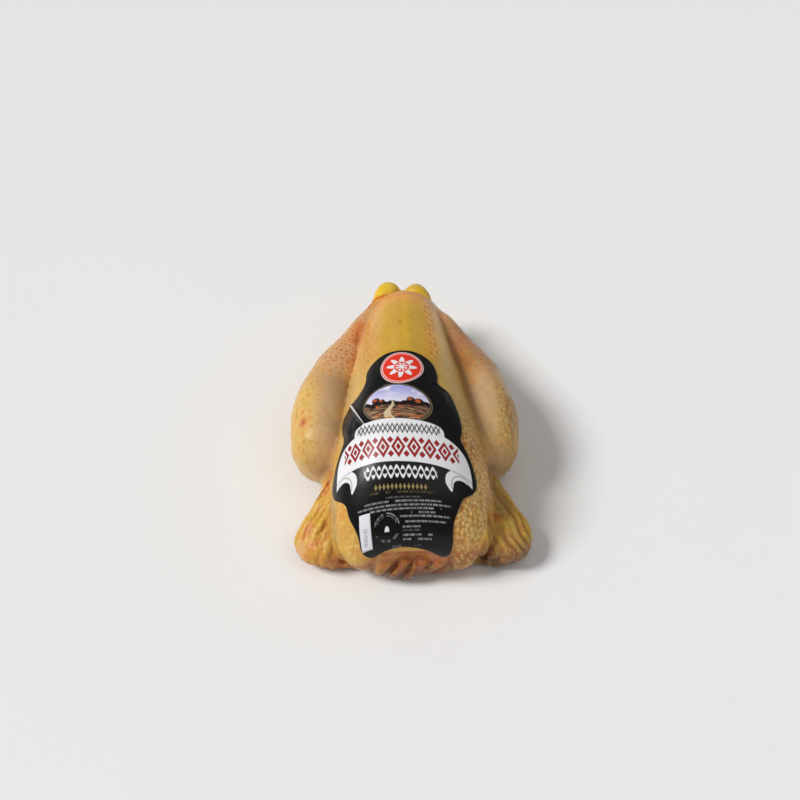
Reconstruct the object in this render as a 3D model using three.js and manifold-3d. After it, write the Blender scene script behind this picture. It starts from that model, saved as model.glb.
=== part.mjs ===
// A whole raw chicken, dressed for the oven and lying on its back, with a film label on its breast.
// Millimetres, +Z up. The neck end points along -Y and the hocks along +Y, and the origin is the
// middle of the bounding box on the surface that the bird lies on.
import * as THREE from 'three';
import { mergeVertices } from 'three/addons/utils/BufferGeometryUtils.js';
import Module from 'manifold-3d';

const wasm = await Module();
wasm.setup();

// Driving sizes of the bird
const TRUNK_RINGS = 44;
const TRUNK_SIDES = 44;
const LIMB_STEP = 7.5;
const CAP_RINGS = 3;

// The middle of the bird's width and length in the tables below, which becomes the origin
const MIDDLE_X = -0.2;
const MIDDLE_Y = 34.9;

// The trunk, from the breast's front to the vent: y, half width, height of the widest line,
// top and bottom height, and how square its upper and lower halves are (2 is an ellipse)
const TRUNK = [
  [-120, 20, 28, 38, 16, 2.0, 2.0],
  [-116, 45, 31, 53, 6, 2.1, 2.2],
  [-105, 58, 36, 72, -1, 2.2, 2.5],
  [-86, 65, 41, 91, -4, 2.2, 2.7],
  [-60, 67, 44, 107, -4, 2.2, 2.8],
  [-25, 64, 46, 117, -4, 2.2, 2.8],
  [15, 58, 47, 118, -4, 2.1, 2.8],
  [50, 53, 47, 114, -4, 2.1, 2.8],
  [85, 47, 47, 108, -3, 2.1, 2.6],
  [115, 42, 48, 101, 3, 2.1, 2.4],
  [138, 37, 50, 94, 14, 2.1, 2.2],
  [156, 30, 54, 86, 28, 2.1, 2.0],
  [166, 16, 58, 76, 42, 2.0, 2.0],
];
// The cleft between the two breast lobes, below the crop: how far it is pushed back, its half
// width, and the heights over which it fades out
const CLEFT_DEPTH = 11;
const CLEFT_HALF_WIDTH = 16;
const CLEFT_HIGH = [28, 50];

// Limbs on the +X side: x, y, z, half width, half height at stations along their path
const DRUMSTICK = [
  [71, -6, 44, 29, 32],
  [71, 26, 50, 29, 32],
  [64, 62, 55, 25, 27],
  [49, 99, 59, 18, 20],
  [36, 130, 62, 13, 14],
  [23, 153, 63.5, 11, 11],
  [15, 170, 64, 12, 12.5],
  [12, 178, 64.5, 12.2, 12.2],
];
const THIGH = [
  [68, -4, 34, 30, 30],
  [62, 30, 32, 34, 34],
  [50, 66, 33, 34, 34],
  [38, 100, 40, 26, 30],
  [26, 128, 50, 20, 24],
];
const WING = [
  [61, -28, 24, 10, 13],
  [65, -47, 23, 14, 18],
  [70, -65, 22, 19, 20],
  [74, -81, 20, 24, 19],
  [73, -90, 19, 24, 16],
];
const SHOULDER = [
  [60, -40, 34, 12, 14],
  [57, -66, 34, 17, 19],
  [52, -90, 30, 18, 20],
];
const WING_TIP = [
  [80, -92, 11, 13, 9],
  [62, -96, 8, 12, 8],
  [42, -92, 6, 9, 7],
];
const TAIL = [
  [0, 138, 40, 22, 16],
  [0, 156, 38, 18, 13],
  [0, 172, 36, 12, 8],
];
// The two sides of the bird: direction of X, and how far out the knee, hock and wing are pushed
const SIDES = [
  { sign: 1, kneeOut: -2, hockOut: -1, wingOut: 6 },
  { sign: -1, kneeOut: 4, hockOut: 2, wingOut: 2 },
];
const KNEE_TO_HOCK = [20, 170];
// Diagonal folds of the wing's skin: height, how many along it, and how far they wind round it
const WING_FOLD = { height: 2.2, along: 3.4, around: 2 };
// Film label on the breast: y of each row, then how far it reaches round the breast from the crest
// line to its two edges, towards -X and +X
const LABEL = [
  [43, -13, -5],
  [41.5, -21, 3],
  [37, -30, 12],
  [28, -38, 21],
  [14, -40, 25],
  [4, -48, 25],
  [-2, -62, 34],
  [-10, -71, 39],
  [-26, -66, 44],
  [-39, -63, 45],
  [-48, -71, 43],
  [-58, -78, 50],
  [-68, -82, 55],
  [-78, -75, 57],
  [-85, -63, 52],
  [-90, -57, 43],
  [-97, -54, 38],
  [-105, -49, 34],
  [-112, -47, 32],
  [-116, -46, 31],
  [-118, -38, 24],
];
const LABEL_COLUMNS = 14;
const LABEL_ROWS = 34;
const LABEL_GAP = 0.6;
const LABEL_THICK = 0.8;
// How far the middle of the label's bottom edge is drawn back along Y, and the stretch it fades over
const LABEL_HOLLOW = 1.7;
const HOLLOW_FROM = -106;
const HOLLOW_TO = -116;
// Paper sticker on the label: y of its two ends, and its two edges measured as the label's are
const STICKER = [
  [-99, -43.5, -34],
  [-107.5, -43.5, -33.5],
  [-116, -43.5, -33],
];
const STICKER_COLUMNS = 3;
const STICKER_ROWS = 9;
const STICKER_GAP = 0.4;
const STICKER_THICK = 0.5;
// Skin of the neck, gathered in folds between the lobes
const NECK_FOLDS = [
  [[-19, -108, 10, 8, 7], [-11, -110, 18, 10, 8], [0, -105, 27, 10, 8], [9, -100, 34, 7, 6]],
  [[-5, -111, 10, 7, 5], [4, -112.5, 16, 8, 5], [13, -111, 23, 8, 5], [20, -106, 30, 6, 5]],
  [[18, -110, 10, 7, 6], [23, -110, 18, 8, 6], [26, -104, 28, 6, 6]],
];

const smooth = (t) => {
  const f = Math.min(Math.max(t, 0), 1);
  return f * f * (3 - 2 * f);
};

// Value of a uniform Catmull-Rom spline through rows of numbers, at t from 0 to 1
function splineRow(rows, t) {
  const last = rows.length - 1;
  const scaled = Math.min(Math.max(t, 0), 1) * last;
  const i = Math.min(Math.floor(scaled), last - 1);
  const f = scaled - i;
  return rows[0].map((_, k) => {
    const p1 = rows[i][k];
    const p2 = rows[i + 1][k];
    const p0 = i > 0 ? rows[i - 1][k] : 2 * p1 - p2;
    const p3 = i + 2 <= last ? rows[i + 2][k] : 2 * p2 - p1;
    const m1 = (p2 - p0) / 2;
    const m2 = (p3 - p1) / 2;
    return p1 + f * (m1 + f * (3 * (p2 - p1) - 2 * m1 - m2 + f * (2 * (p1 - p2) + m1 + m2)));
  });
}

const power = (v, n) => Math.sign(v) * Math.abs(v) ** (2 / n);

function foldHeight({ height, along, around }, t, angle) {
  const upper = Math.max(Math.sin(angle), 0);
  return height * upper * Math.sin(Math.PI * t) * Math.sin(2 * Math.PI * along * t + around * angle);
}

// Closed skin over rings of equal size, with a pole at each end
function skin(rings, start, end) {
  const sides = rings[0].length;
  const position = [];
  rings.forEach((ring) => ring.forEach((p) => position.push(p.x, p.y, p.z)));
  const first = position.length / 3;
  position.push(start.x, start.y, start.z, end.x, end.y, end.z);
  const index = [];
  for (let j = 0; j < sides; j++) {
    const next = (j + 1) % sides;
    index.push(first, j, next);
    const lastRing = (rings.length - 1) * sides;
    index.push(first + 1, lastRing + next, lastRing + j);
    for (let i = 0; i + 1 < rings.length; i++) {
      const a = i * sides + j;
      const b = i * sides + next;
      index.push(a, a + sides, b, b, a + sides, b + sides);
    }
  }
  const geometry = new THREE.BufferGeometry();
  geometry.setAttribute('position', new THREE.Float32BufferAttribute(position, 3));
  geometry.setIndex(index);
  return geometry;
}

// Pushes the middle of the breast's front back, which leaves a lobe on either side
function cleft(point) {
  const across = Math.exp(-((point.x / CLEFT_HALF_WIDTH) ** 2));
  const low = 1 - smooth((point.z - CLEFT_HIGH[0]) / (CLEFT_HIGH[1] - CLEFT_HIGH[0]));
  const front = smooth((-70 - point.y) / 40);
  point.y += CLEFT_DEPTH * across * low * front;
  return point;
}

// A point of the trunk: superellipse sections square to Y
function trunkPoint(t, angle) {
  const [y, half, middle, top, bottom, upper, lower] = splineRow(TRUNK, t);
  const sine = Math.sin(angle);
  const square = sine >= 0 ? upper : lower;
  const reach = sine >= 0 ? top - middle : middle - bottom;
  const x = half * power(Math.cos(angle), square);
  return cleft(new THREE.Vector3(x, y, middle + reach * power(sine, square)));
}

function trunk() {
  const rings = [];
  for (let i = 0; i <= TRUNK_RINGS; i++) {
    const ring = [];
    for (let j = 0; j < TRUNK_SIDES; j++) {
      ring.push(trunkPoint(i / TRUNK_RINGS, (2 * Math.PI * j) / TRUNK_SIDES));
    }
    rings.push(ring);
  }
  const front = splineRow(TRUNK, 0);
  const rear = splineRow(TRUNK, 1);
  return skin(
    rings,
    cleft(new THREE.Vector3(0, front[0] - 3, front[2])),
    new THREE.Vector3(0, rear[0] + 3, rear[2]),
  );
}

// A limb: elliptic sections carried along its path, with a rounded cap at each end. The folds,
// where it has them, are waves that wind round its upper half and die out at its ends.
function limb(stations, sides, { sign = 1, outAt = () => 0, folds = null } = {}) {
  const rows = stations.map(([x, y, ...rest]) => [sign * (x + outAt(y)), y, ...rest]);
  const centres = rows.map((row) => new THREE.Vector3(...row));
  const length = centres.slice(1).reduce((sum, p, i) => sum + p.distanceTo(centres[i]), 0);
  const steps = Math.ceil(length / LIMB_STEP);
  const up = new THREE.Vector3(0, 0, 1);
  const at = (t) => new THREE.Vector3(...splineRow(rows, t).slice(0, 3));
  const frame = (t) => {
    const ahead = at(Math.min(t + 0.01, 1)).sub(at(Math.max(t - 0.01, 0))).normalize();
    const side = new THREE.Vector3().crossVectors(ahead, up).normalize();
    return { ahead, side, top: new THREE.Vector3().crossVectors(side, ahead) };
  };
  const ringAt = (t, shift, scale) => {
    const { ahead, side, top } = frame(t);
    const [, , , wide, high] = splineRow(rows, t);
    const centre = at(t).addScaledVector(ahead, shift);
    return Array.from({ length: sides }, (_, j) => {
      const angle = (2 * Math.PI * j) / sides;
      const swell = folds ? foldHeight(folds, t, sign > 0 ? angle : Math.PI - angle) : 0;
      return centre
        .clone()
        .addScaledVector(side, (wide + swell) * scale * Math.cos(angle))
        .addScaledVector(top, (high + swell) * scale * Math.sin(angle));
    });
  };
  const rings = [];
  const capLength = (t) => (splineRow(rows, t)[3] + splineRow(rows, t)[4]) / 2;
  for (let k = 1; k <= CAP_RINGS; k++) {
    const angle = ((1 - k / (CAP_RINGS + 1)) * Math.PI) / 2;
    rings.push(ringAt(0, -capLength(0) * Math.sin(angle), Math.cos(angle)));
  }
  for (let i = 0; i <= steps; i++) {
    rings.push(ringAt(i / steps, 0, 1));
  }
  for (let k = 1; k <= CAP_RINGS; k++) {
    const angle = ((k / (CAP_RINGS + 1)) * Math.PI) / 2;
    rings.push(ringAt(1, capLength(1) * Math.sin(angle), Math.cos(angle)));
  }
  return skin(
    rings,
    at(0).addScaledVector(frame(0).ahead, -capLength(0)),
    at(1).addScaledVector(frame(1).ahead, capLength(1)),
  );
}

// The trunk's ring parameter at a given y, by halving
function ringAtY(y) {
  let low = 0;
  let high = 1;
  for (let k = 0; k < 40; k++) {
    const middle = (low + high) / 2;
    if (splineRow(TRUNK, middle)[0] < y) {
      low = middle;
    } else {
      high = middle;
    }
  }
  return (low + high) / 2;
}

// The angle at which a ring of the trunk is a given distance round from its crest, towards +X
function angleAtReach(ring, reach) {
  const step = Math.PI / 360;
  const turn = reach > 0 ? -step : step;
  let angle = Math.PI / 2;
  let point = trunkPoint(ring, angle);
  let gone = 0;
  while (gone < Math.abs(reach)) {
    angle += turn;
    const next = trunkPoint(ring, angle);
    gone += next.distanceTo(point);
    point = next;
  }
  return angle;
}

// A point at a given height over the trunk's skin, along its normal
function overTrunk(ring, angle, height) {
  const small = 0.004;
  const ahead = trunkPoint(ring + small, angle).sub(trunkPoint(ring - small, angle));
  const round = trunkPoint(ring, angle + small).sub(trunkPoint(ring, angle - small));
  const normal = new THREE.Vector3().crossVectors(ahead, round).normalize();
  return trunkPoint(ring, angle).addScaledVector(normal, height);
}

// Share of the bottom edge's hollow at a given y and place across the sheet, from -1 to 1
function drawnBack(y, across) {
  return smooth((HOLLOW_FROM - y) / (HOLLOW_FROM - HOLLOW_TO)) * (1 - across * across) ** 1.5;
}

// A thin sheet laid over the breast: two layers of one grid, split into triangles alike, with a rim
function sheet(outline, columns, rows, under, thick, hollow) {
  const position = [];
  for (const height of [under, under + thick]) {
    for (let i = 0; i <= rows; i++) {
      const [y, left, right] = splineRow(outline, i / rows);
      for (let j = 0; j <= columns; j++) {
        const reach = left + ((right - left) * j) / columns;
        const ring = ringAtY(y + hollow * drawnBack(y, (2 * j) / columns - 1));
        const point = overTrunk(ring, angleAtReach(ring, reach), height);
        position.push(point.x, point.y, point.z);
      }
    }
  }
  const wide = columns + 1;
  const layer = wide * (rows + 1);
  const index = [];
  for (let i = 0; i < rows; i++) {
    for (let j = 0; j < columns; j++) {
      const a = i * wide + j;
      const b = a + wide;
      index.push(a, a + 1, b, b, a + 1, b + 1);
      index.push(layer + a, layer + b, layer + a + 1, layer + b, layer + b + 1, layer + a + 1);
    }
  }
  const rim = [];
  for (let j = 0; j < columns; j++) {
    rim.push(j);
  }
  for (let i = 0; i < rows; i++) {
    rim.push(i * wide + columns);
  }
  for (let j = columns; j > 0; j--) {
    rim.push(rows * wide + j);
  }
  for (let i = rows; i > 0; i--) {
    rim.push(i * wide);
  }
  rim.forEach((a, k) => {
    const b = rim[(k + 1) % rim.length];
    index.push(a, layer + a, b, b, layer + a, layer + b);
  });
  const geometry = new THREE.BufferGeometry();
  geometry.setAttribute('position', new THREE.Float32BufferAttribute(position, 3));
  geometry.setIndex(index);
  return geometry;
}

// A closed geometry as a solid that can be joined or cut
function solid(geometry) {
  const bare = geometry.clone();
  bare.deleteAttribute('normal');
  bare.deleteAttribute('uv');
  const merged = mergeVertices(bare, 1e-4);
  return new wasm.Manifold(
    new wasm.Mesh({
      numProp: 3,
      vertProperties: new Float32Array(merged.attributes.position.array),
      triVerts: new Uint32Array(merged.index.array),
    }),
  );
}

function geometryOf(manifold) {
  const mesh = manifold.getMesh();
  const geometry = new THREE.BufferGeometry();
  geometry.setAttribute('position', new THREE.Float32BufferAttribute(mesh.vertProperties, 3));
  geometry.setIndex([...mesh.triVerts]);
  return geometry;
}

function bird() {
  let whole = solid(trunk());
  const pieces = [limb(TAIL, 18)];
  NECK_FOLDS.forEach((stations) => pieces.push(limb(stations, 12)));
  SIDES.forEach(({ sign, kneeOut, hockOut, wingOut }) => {
    const [knee, hock] = KNEE_TO_HOCK;
    const legOut = (y) => kneeOut + (hockOut - kneeOut) * smooth((y - knee) / (hock - knee));
    const wing = () => wingOut;
    pieces.push(limb(DRUMSTICK, 24, { sign, outAt: legOut }));
    pieces.push(limb(THIGH, 22, { sign, outAt: legOut }));
    pieces.push(limb(WING, 22, { sign, outAt: wing, folds: WING_FOLD }));
    pieces.push(limb(SHOULDER, 18, { sign }));
    pieces.push(limb(WING_TIP, 14, { sign, outAt: wing }));
  });
  pieces.forEach((piece) => {
    whole = whole.add(solid(piece));
  });
  const below = new THREE.BoxGeometry(400, 600, 60);
  below.translate(0, 0, -30);
  return geometryOf(whole.subtract(solid(below)));
}

const group = new THREE.Group();

function addPiece(name, geometry, finish) {
  const piece = new THREE.Mesh(geometry, new THREE.MeshStandardMaterial({ metalness: 0, ...finish }));
  piece.name = name;
  piece.position.set(-MIDDLE_X, -MIDDLE_Y, 0);
  group.add(piece);
}

addPiece('chicken', bird(), { color: 0xd3a45c, roughness: 0.45 });
addPiece('label', sheet(LABEL, LABEL_COLUMNS, LABEL_ROWS, LABEL_GAP, LABEL_THICK, LABEL_HOLLOW), {
  color: 0x22211f,
  roughness: 0.22,
});
const stickerUnder = LABEL_GAP + LABEL_THICK + STICKER_GAP;
addPiece('date_sticker', sheet(STICKER, STICKER_COLUMNS, STICKER_ROWS, stickerUnder, STICKER_THICK, 0), {
  color: 0xe9e9ee,
  roughness: 0.6,
});

export default group;
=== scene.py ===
"""A whole raw chicken lying on its back, with a printed film label over its breast.

The skin is one surface: tubes and a trunk worked out from tables of sections, joined by a voxel
remesh, softened at the creases and then raised with folds, lumps and feather follicles. Tables are in
millimetres, in a frame whose middle is moved to the origin when a mesh is made.
"""

import math

import bpy
import numpy as np
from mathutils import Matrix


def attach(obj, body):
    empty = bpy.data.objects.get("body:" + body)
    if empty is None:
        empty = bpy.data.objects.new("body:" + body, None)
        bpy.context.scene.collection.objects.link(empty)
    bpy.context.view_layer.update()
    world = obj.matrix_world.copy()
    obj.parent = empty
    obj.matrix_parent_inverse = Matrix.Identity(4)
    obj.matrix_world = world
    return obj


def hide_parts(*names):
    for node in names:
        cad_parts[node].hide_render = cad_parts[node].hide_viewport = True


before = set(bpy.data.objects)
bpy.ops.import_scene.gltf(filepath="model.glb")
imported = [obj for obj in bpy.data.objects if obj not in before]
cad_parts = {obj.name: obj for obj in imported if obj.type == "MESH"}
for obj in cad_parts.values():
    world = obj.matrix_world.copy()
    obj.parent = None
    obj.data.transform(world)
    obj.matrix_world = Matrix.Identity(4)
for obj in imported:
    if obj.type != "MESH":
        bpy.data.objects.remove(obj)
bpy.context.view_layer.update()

bl_info = {
    "name": "Raw chicken",
    "version": (1, 0, 0),
    "blender": (4, 5, 0),
    "location": "3D View > Sidebar > Raw chicken",
    "description": "A whole raw chicken with a film label",
    "category": "Object",
}

MM = 0.001
MIDDLE = np.array([-0.2, 34.9, 0.0])
UP = np.array([0.0, 0.0, 1.0])

# The trunk, from the breast's front to the vent: y, half width, height of the widest line,
# top and bottom height, and how square its upper and lower halves are (2 is an ellipse)
TRUNK = [
    [-120, 20, 28, 38, 16, 2.0, 2.0],
    [-116, 45, 31, 53, 6, 2.1, 2.2],
    [-105, 58, 36, 72, -1, 2.2, 2.5],
    [-86, 65, 41, 91, -4, 2.2, 2.7],
    [-60, 67, 44, 107, -4, 2.2, 2.8],
    [-25, 64, 46, 117, -4, 2.2, 2.8],
    [15, 58, 47, 118, -4, 2.1, 2.8],
    [50, 53, 47, 114, -4, 2.1, 2.8],
    [85, 47, 47, 108, -3, 2.1, 2.6],
    [115, 42, 48, 101, 3, 2.1, 2.4],
    [138, 37, 50, 94, 14, 2.1, 2.2],
    [156, 30, 54, 86, 28, 2.1, 2.0],
    [166, 16, 58, 76, 42, 2.0, 2.0],
]
CLEFT_DEPTH = 11
CLEFT_HALF_WIDTH = 16
CLEFT_HIGH = (28, 50)

# Limbs on the +X side: x, y, z, half width, half height at stations along their path
DRUMSTICK = [
    [71, -6, 44, 29, 32],
    [71, 26, 50, 29, 32],
    [64, 62, 55, 25, 27],
    [49, 99, 59, 18, 20],
    [36, 130, 62, 13, 14],
    [23, 153, 63, 10.4, 10.2],
    [16, 169, 63.5, 12.8, 12.2],
    [13, 176, 63, 13.2, 11.8],
]
THIGH = [
    [68, -4, 34, 30, 30],
    [62, 30, 32, 34, 34],
    [50, 66, 33, 34, 34],
    [38, 100, 40, 26, 30],
    [26, 128, 50, 20, 24],
]
WING = [
    [61, -28, 24, 10, 13],
    [65, -47, 23, 14, 18],
    [70, -65, 22, 19, 20],
    [74, -81, 20, 24, 19],
    [73, -90, 19, 24, 16],
]
SHOULDER = [
    [60, -40, 34, 12, 14],
    [57, -66, 34, 17, 19],
    [52, -90, 30, 18, 20],
]
WING_TIP = [
    [80, -92, 11, 13, 9],
    [62, -96, 8, 12, 8],
    [42, -92, 6, 9, 7],
]
TAIL = [
    [0, 138, 40, 22, 16],
    [0, 156, 38, 18, 13],
    [0, 172, 36, 12, 8],
]
NECK_FOLDS = [
    [[-19, -108, 10, 8, 7], [-11, -110, 18, 10, 8], [0, -105, 27, 10, 8], [9, -100, 34, 7, 6]],
    [[-5, -111, 10, 7, 5], [4, -112.5, 16, 8, 5], [13, -111, 23, 8, 5], [20, -106, 30, 6, 5]],
    [[18, -110, 10, 7, 6], [23, -110, 18, 8, 6], [26, -104, 28, 6, 6]],
]
# The two sides: direction of X, and how far out the knee, hock and wing are pushed
SIDES = [(1, -2, -1, 6), (-1, 4, 2, 2)]
KNEE_TO_HOCK = (20, 170)
WING_FOLD = (0.9, 3.4, 2)

# Film label: y of each row, then how far it reaches round the breast from the crest line to its
# two edges, towards -X and +X
LABEL = [
    [43, -13, -5],
    [41.5, -21, 3],
    [37, -30, 12],
    [28, -38, 21],
    [14, -40, 25],
    [4, -48, 25],
    [-2, -62, 34],
    [-10, -71, 39],
    [-26, -66, 44],
    [-39, -63, 45],
    [-48, -71, 43],
    [-58, -78, 50],
    [-68, -82, 55],
    [-78, -75, 57],
    [-85, -63, 52],
    [-90, -57, 43],
    [-97, -54, 38],
    [-105, -49, 34],
    [-112, -45.5, 33],
    [-116, -44.4, 33],
    [-118, -43.9, 32.8],
]
LABEL_TOP = 43
# Its wavy lower edge between rounded corners: reach from the crest line, then y
LABEL_FOOT = [
    [-44, -113.8],
    [-43, -115.6],
    [-40.5, -116.9],
    [-35.5, -117.8],
    [-28.5, -117.8],
    [-22, -117.1],
    [-8.5, -116.4],
    [5, -117.0],
    [15, -118.0],
    [22, -118.6],
    [27, -118.5],
    [30.6, -117.8],
    [32.4, -116.4],
    [33, -114.5],
]
FOOT_FROM = -100
STICKER = [
    [-99, -43.5, -34],
    [-107.5, -43.5, -33.5],
    [-115.7, -42.4, -32.4],
]


def smooth(t):
    """Smooth step: 0 below 0, 1 above 1, and 3t^2 - 2t^3 between."""
    f = np.clip(t, 0, 1)
    return f * f * (3 - 2 * f)


def between(value, low, high):
    """Smooth step of a value from low, where it is 0, to high, where it is 1."""
    return smooth((value - low) / (high - low))


def bell(value, middle, width):
    """Bell curve: 1 at the middle, falling off over the width."""
    return np.exp(-(((value - middle) / width) ** 2))


def unit(vectors):
    """Vectors divided by their own length."""
    return vectors / np.maximum(np.linalg.norm(vectors, axis=-1, keepdims=True), 1e-9)


def spline_rows(rows, t):
    """Uniform Catmull-Rom curve through rows of numbers, at each t from 0 to 1."""
    rows = np.asarray(rows, float)
    last = len(rows) - 1
    scaled = np.clip(t, 0, 1) * last
    i = np.minimum(scaled.astype(int), last - 1)
    f = (scaled - i)[..., None]
    padded = np.vstack([2 * rows[0] - rows[1], rows, 2 * rows[-1] - rows[-2]])
    p0, p1, p2, p3 = (padded[i + k] for k in range(4))
    m1 = (p2 - p0) / 2
    m2 = (p3 - p1) / 2
    return p1 + f * (m1 + f * (3 * (p2 - p1) - 2 * m1 - m2 + f * (2 * (p1 - p2) + m1 + m2)))


def noise(points, size, seed):
    """Smooth value noise from -1 to 1: the hashed values of the eight corners of a cell of the given
    size, blended with a smooth step along each axis."""
    scaled = points / size + seed * 17.31
    low = np.floor(scaled).astype(np.int64)
    f = scaled - low
    f = f * f * (3 - 2 * f)
    total = np.zeros(len(points))
    for corner in range(8):
        bits = np.array([corner & 1, corner >> 1 & 1, corner >> 2 & 1])
        mixed = ((low + bits) * np.array([73856093, 19349663, 83492791])).sum(1)
        mixed = (mixed ^ (mixed >> 13)) * 1274126177
        value = ((mixed >> 8) & 0xFFFF) / 32767.5 - 1
        total += value * np.prod(np.where(bits, f, 1 - f), axis=1)
    return total


def power(value, exponent):
    """Signed power. With 2 / square as the exponent it turns a circle into a superellipse."""
    return np.sign(value) * np.abs(value) ** exponent


def cleft_push(points):
    """How far the middle of the breast's front is pushed back: a bell across X, fading out upwards and
    away from the front."""
    low = 1 - between(points[..., 2], *CLEFT_HIGH)
    return CLEFT_DEPTH * bell(points[..., 0], 0, CLEFT_HALF_WIDTH) * low * smooth((-70 - points[..., 1]) / 40)


def trunk_point(t, angle):
    """Point of the trunk: superellipse sections square to Y, then the cleft."""
    y, half, middle, top, bottom, upper, lower = np.moveaxis(spline_rows(TRUNK, t), -1, 0)
    sine = np.sin(angle)
    exponent = 2 / np.where(sine >= 0, upper, lower)
    reach = np.where(sine >= 0, top - middle, middle - bottom)
    points = np.stack([half * power(np.cos(angle), exponent), y, middle + reach * power(sine, exponent)], -1)
    points[..., 1] += cleft_push(points)
    return points


def trunk_normal(t, angle):
    """Outward direction of the trunk's skin: the cross product of its two slopes."""
    small = 0.004
    ahead = trunk_point(t + small, angle) - trunk_point(t - small, angle)
    round_it = trunk_point(t, angle + small) - trunk_point(t, angle - small)
    return unit(np.cross(ahead, round_it))


class TrunkMap:
    """Lengths measured on the trunk: round it from the crest line, and along it from the front."""

    def __init__(self, rings=241, sides=361):
        self.t = np.linspace(0, 1, rings)
        self.turn = np.linspace(-np.pi, np.pi, sides)
        t, turn = np.meshgrid(self.t, self.turn, indexing="ij")
        points = trunk_point(t, np.pi / 2 - turn)
        steps = np.linalg.norm(np.diff(points, axis=1), axis=2)
        self.reach = np.concatenate([np.zeros((rings, 1)), np.cumsum(steps, 1)], 1)
        self.reach -= self.reach[:, sides // 2, None]
        steps = np.linalg.norm(np.diff(points, axis=0), axis=2)
        self.length = np.concatenate([np.zeros((1, sides)), np.cumsum(steps, 0)], 0)
        self.ring_y = spline_rows(TRUNK, self.t)[:, 0]

    def t_at(self, y):
        """Ring at a given y."""
        return np.interp(y, self.ring_y, self.t)

    def look(self, table, t, turn):
        """Value of a table at a ring and turn, blended between its four neighbours."""
        i = np.clip(t, 0, 1) * (len(self.t) - 1)
        j = np.clip((turn + np.pi) / (2 * np.pi), 0, 1) * (len(self.turn) - 1)
        a = np.minimum(i.astype(int), len(self.t) - 2)
        b = np.minimum(j.astype(int), len(self.turn) - 2)
        f = i - a
        g = j - b
        near = table[a, b] * (1 - g) + table[a, b + 1] * g
        far = table[a + 1, b] * (1 - g) + table[a + 1, b + 1] * g
        return near * (1 - f) + far * f

    def turn_at(self, t, reach):
        """Turn at which a ring is a given distance round from the crest, by halving."""
        low = np.full(np.shape(reach), -np.pi)
        high = np.full(np.shape(reach), np.pi)
        for _ in range(26):
            middle = (low + high) / 2
            short = self.look(self.reach, t, middle) < reach
            low = np.where(short, middle, low)
            high = np.where(short, high, middle)
        return (low + high) / 2

    def along(self, t):
        """Length along the crest line from the label's top edge towards the front."""
        crest = self.length[:, len(self.turn) // 2]
        return np.interp(self.t_at(LABEL_TOP), self.t, crest) - np.interp(t, self.t, crest)

    def place(self, points):
        """Ring, turn and signed distance of points from the trunk's skin."""
        y = points[:, 1] - cleft_push(points)
        t = self.t_at(y)
        _, half, middle, top, bottom, upper, lower = spline_rows(TRUNK, t).T
        high = points[:, 2] - middle
        square = np.where(high >= 0, upper, lower)
        across = points[:, 0] / half
        rise = high / np.where(high >= 0, top - middle, middle - bottom)
        rho = (np.abs(across) ** square + np.abs(rise) ** square) ** (1 / square)
        angle = np.arctan2(power(rise, square / 2), power(across, square / 2))
        turn = (np.pi / 2 - angle + np.pi) % (2 * np.pi) - np.pi
        beyond = np.maximum(np.maximum(self.ring_y[0] - y, y - self.ring_y[-1]), 0)
        return t, turn, (rho - 1) * np.minimum(half, 40) + beyond


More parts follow.
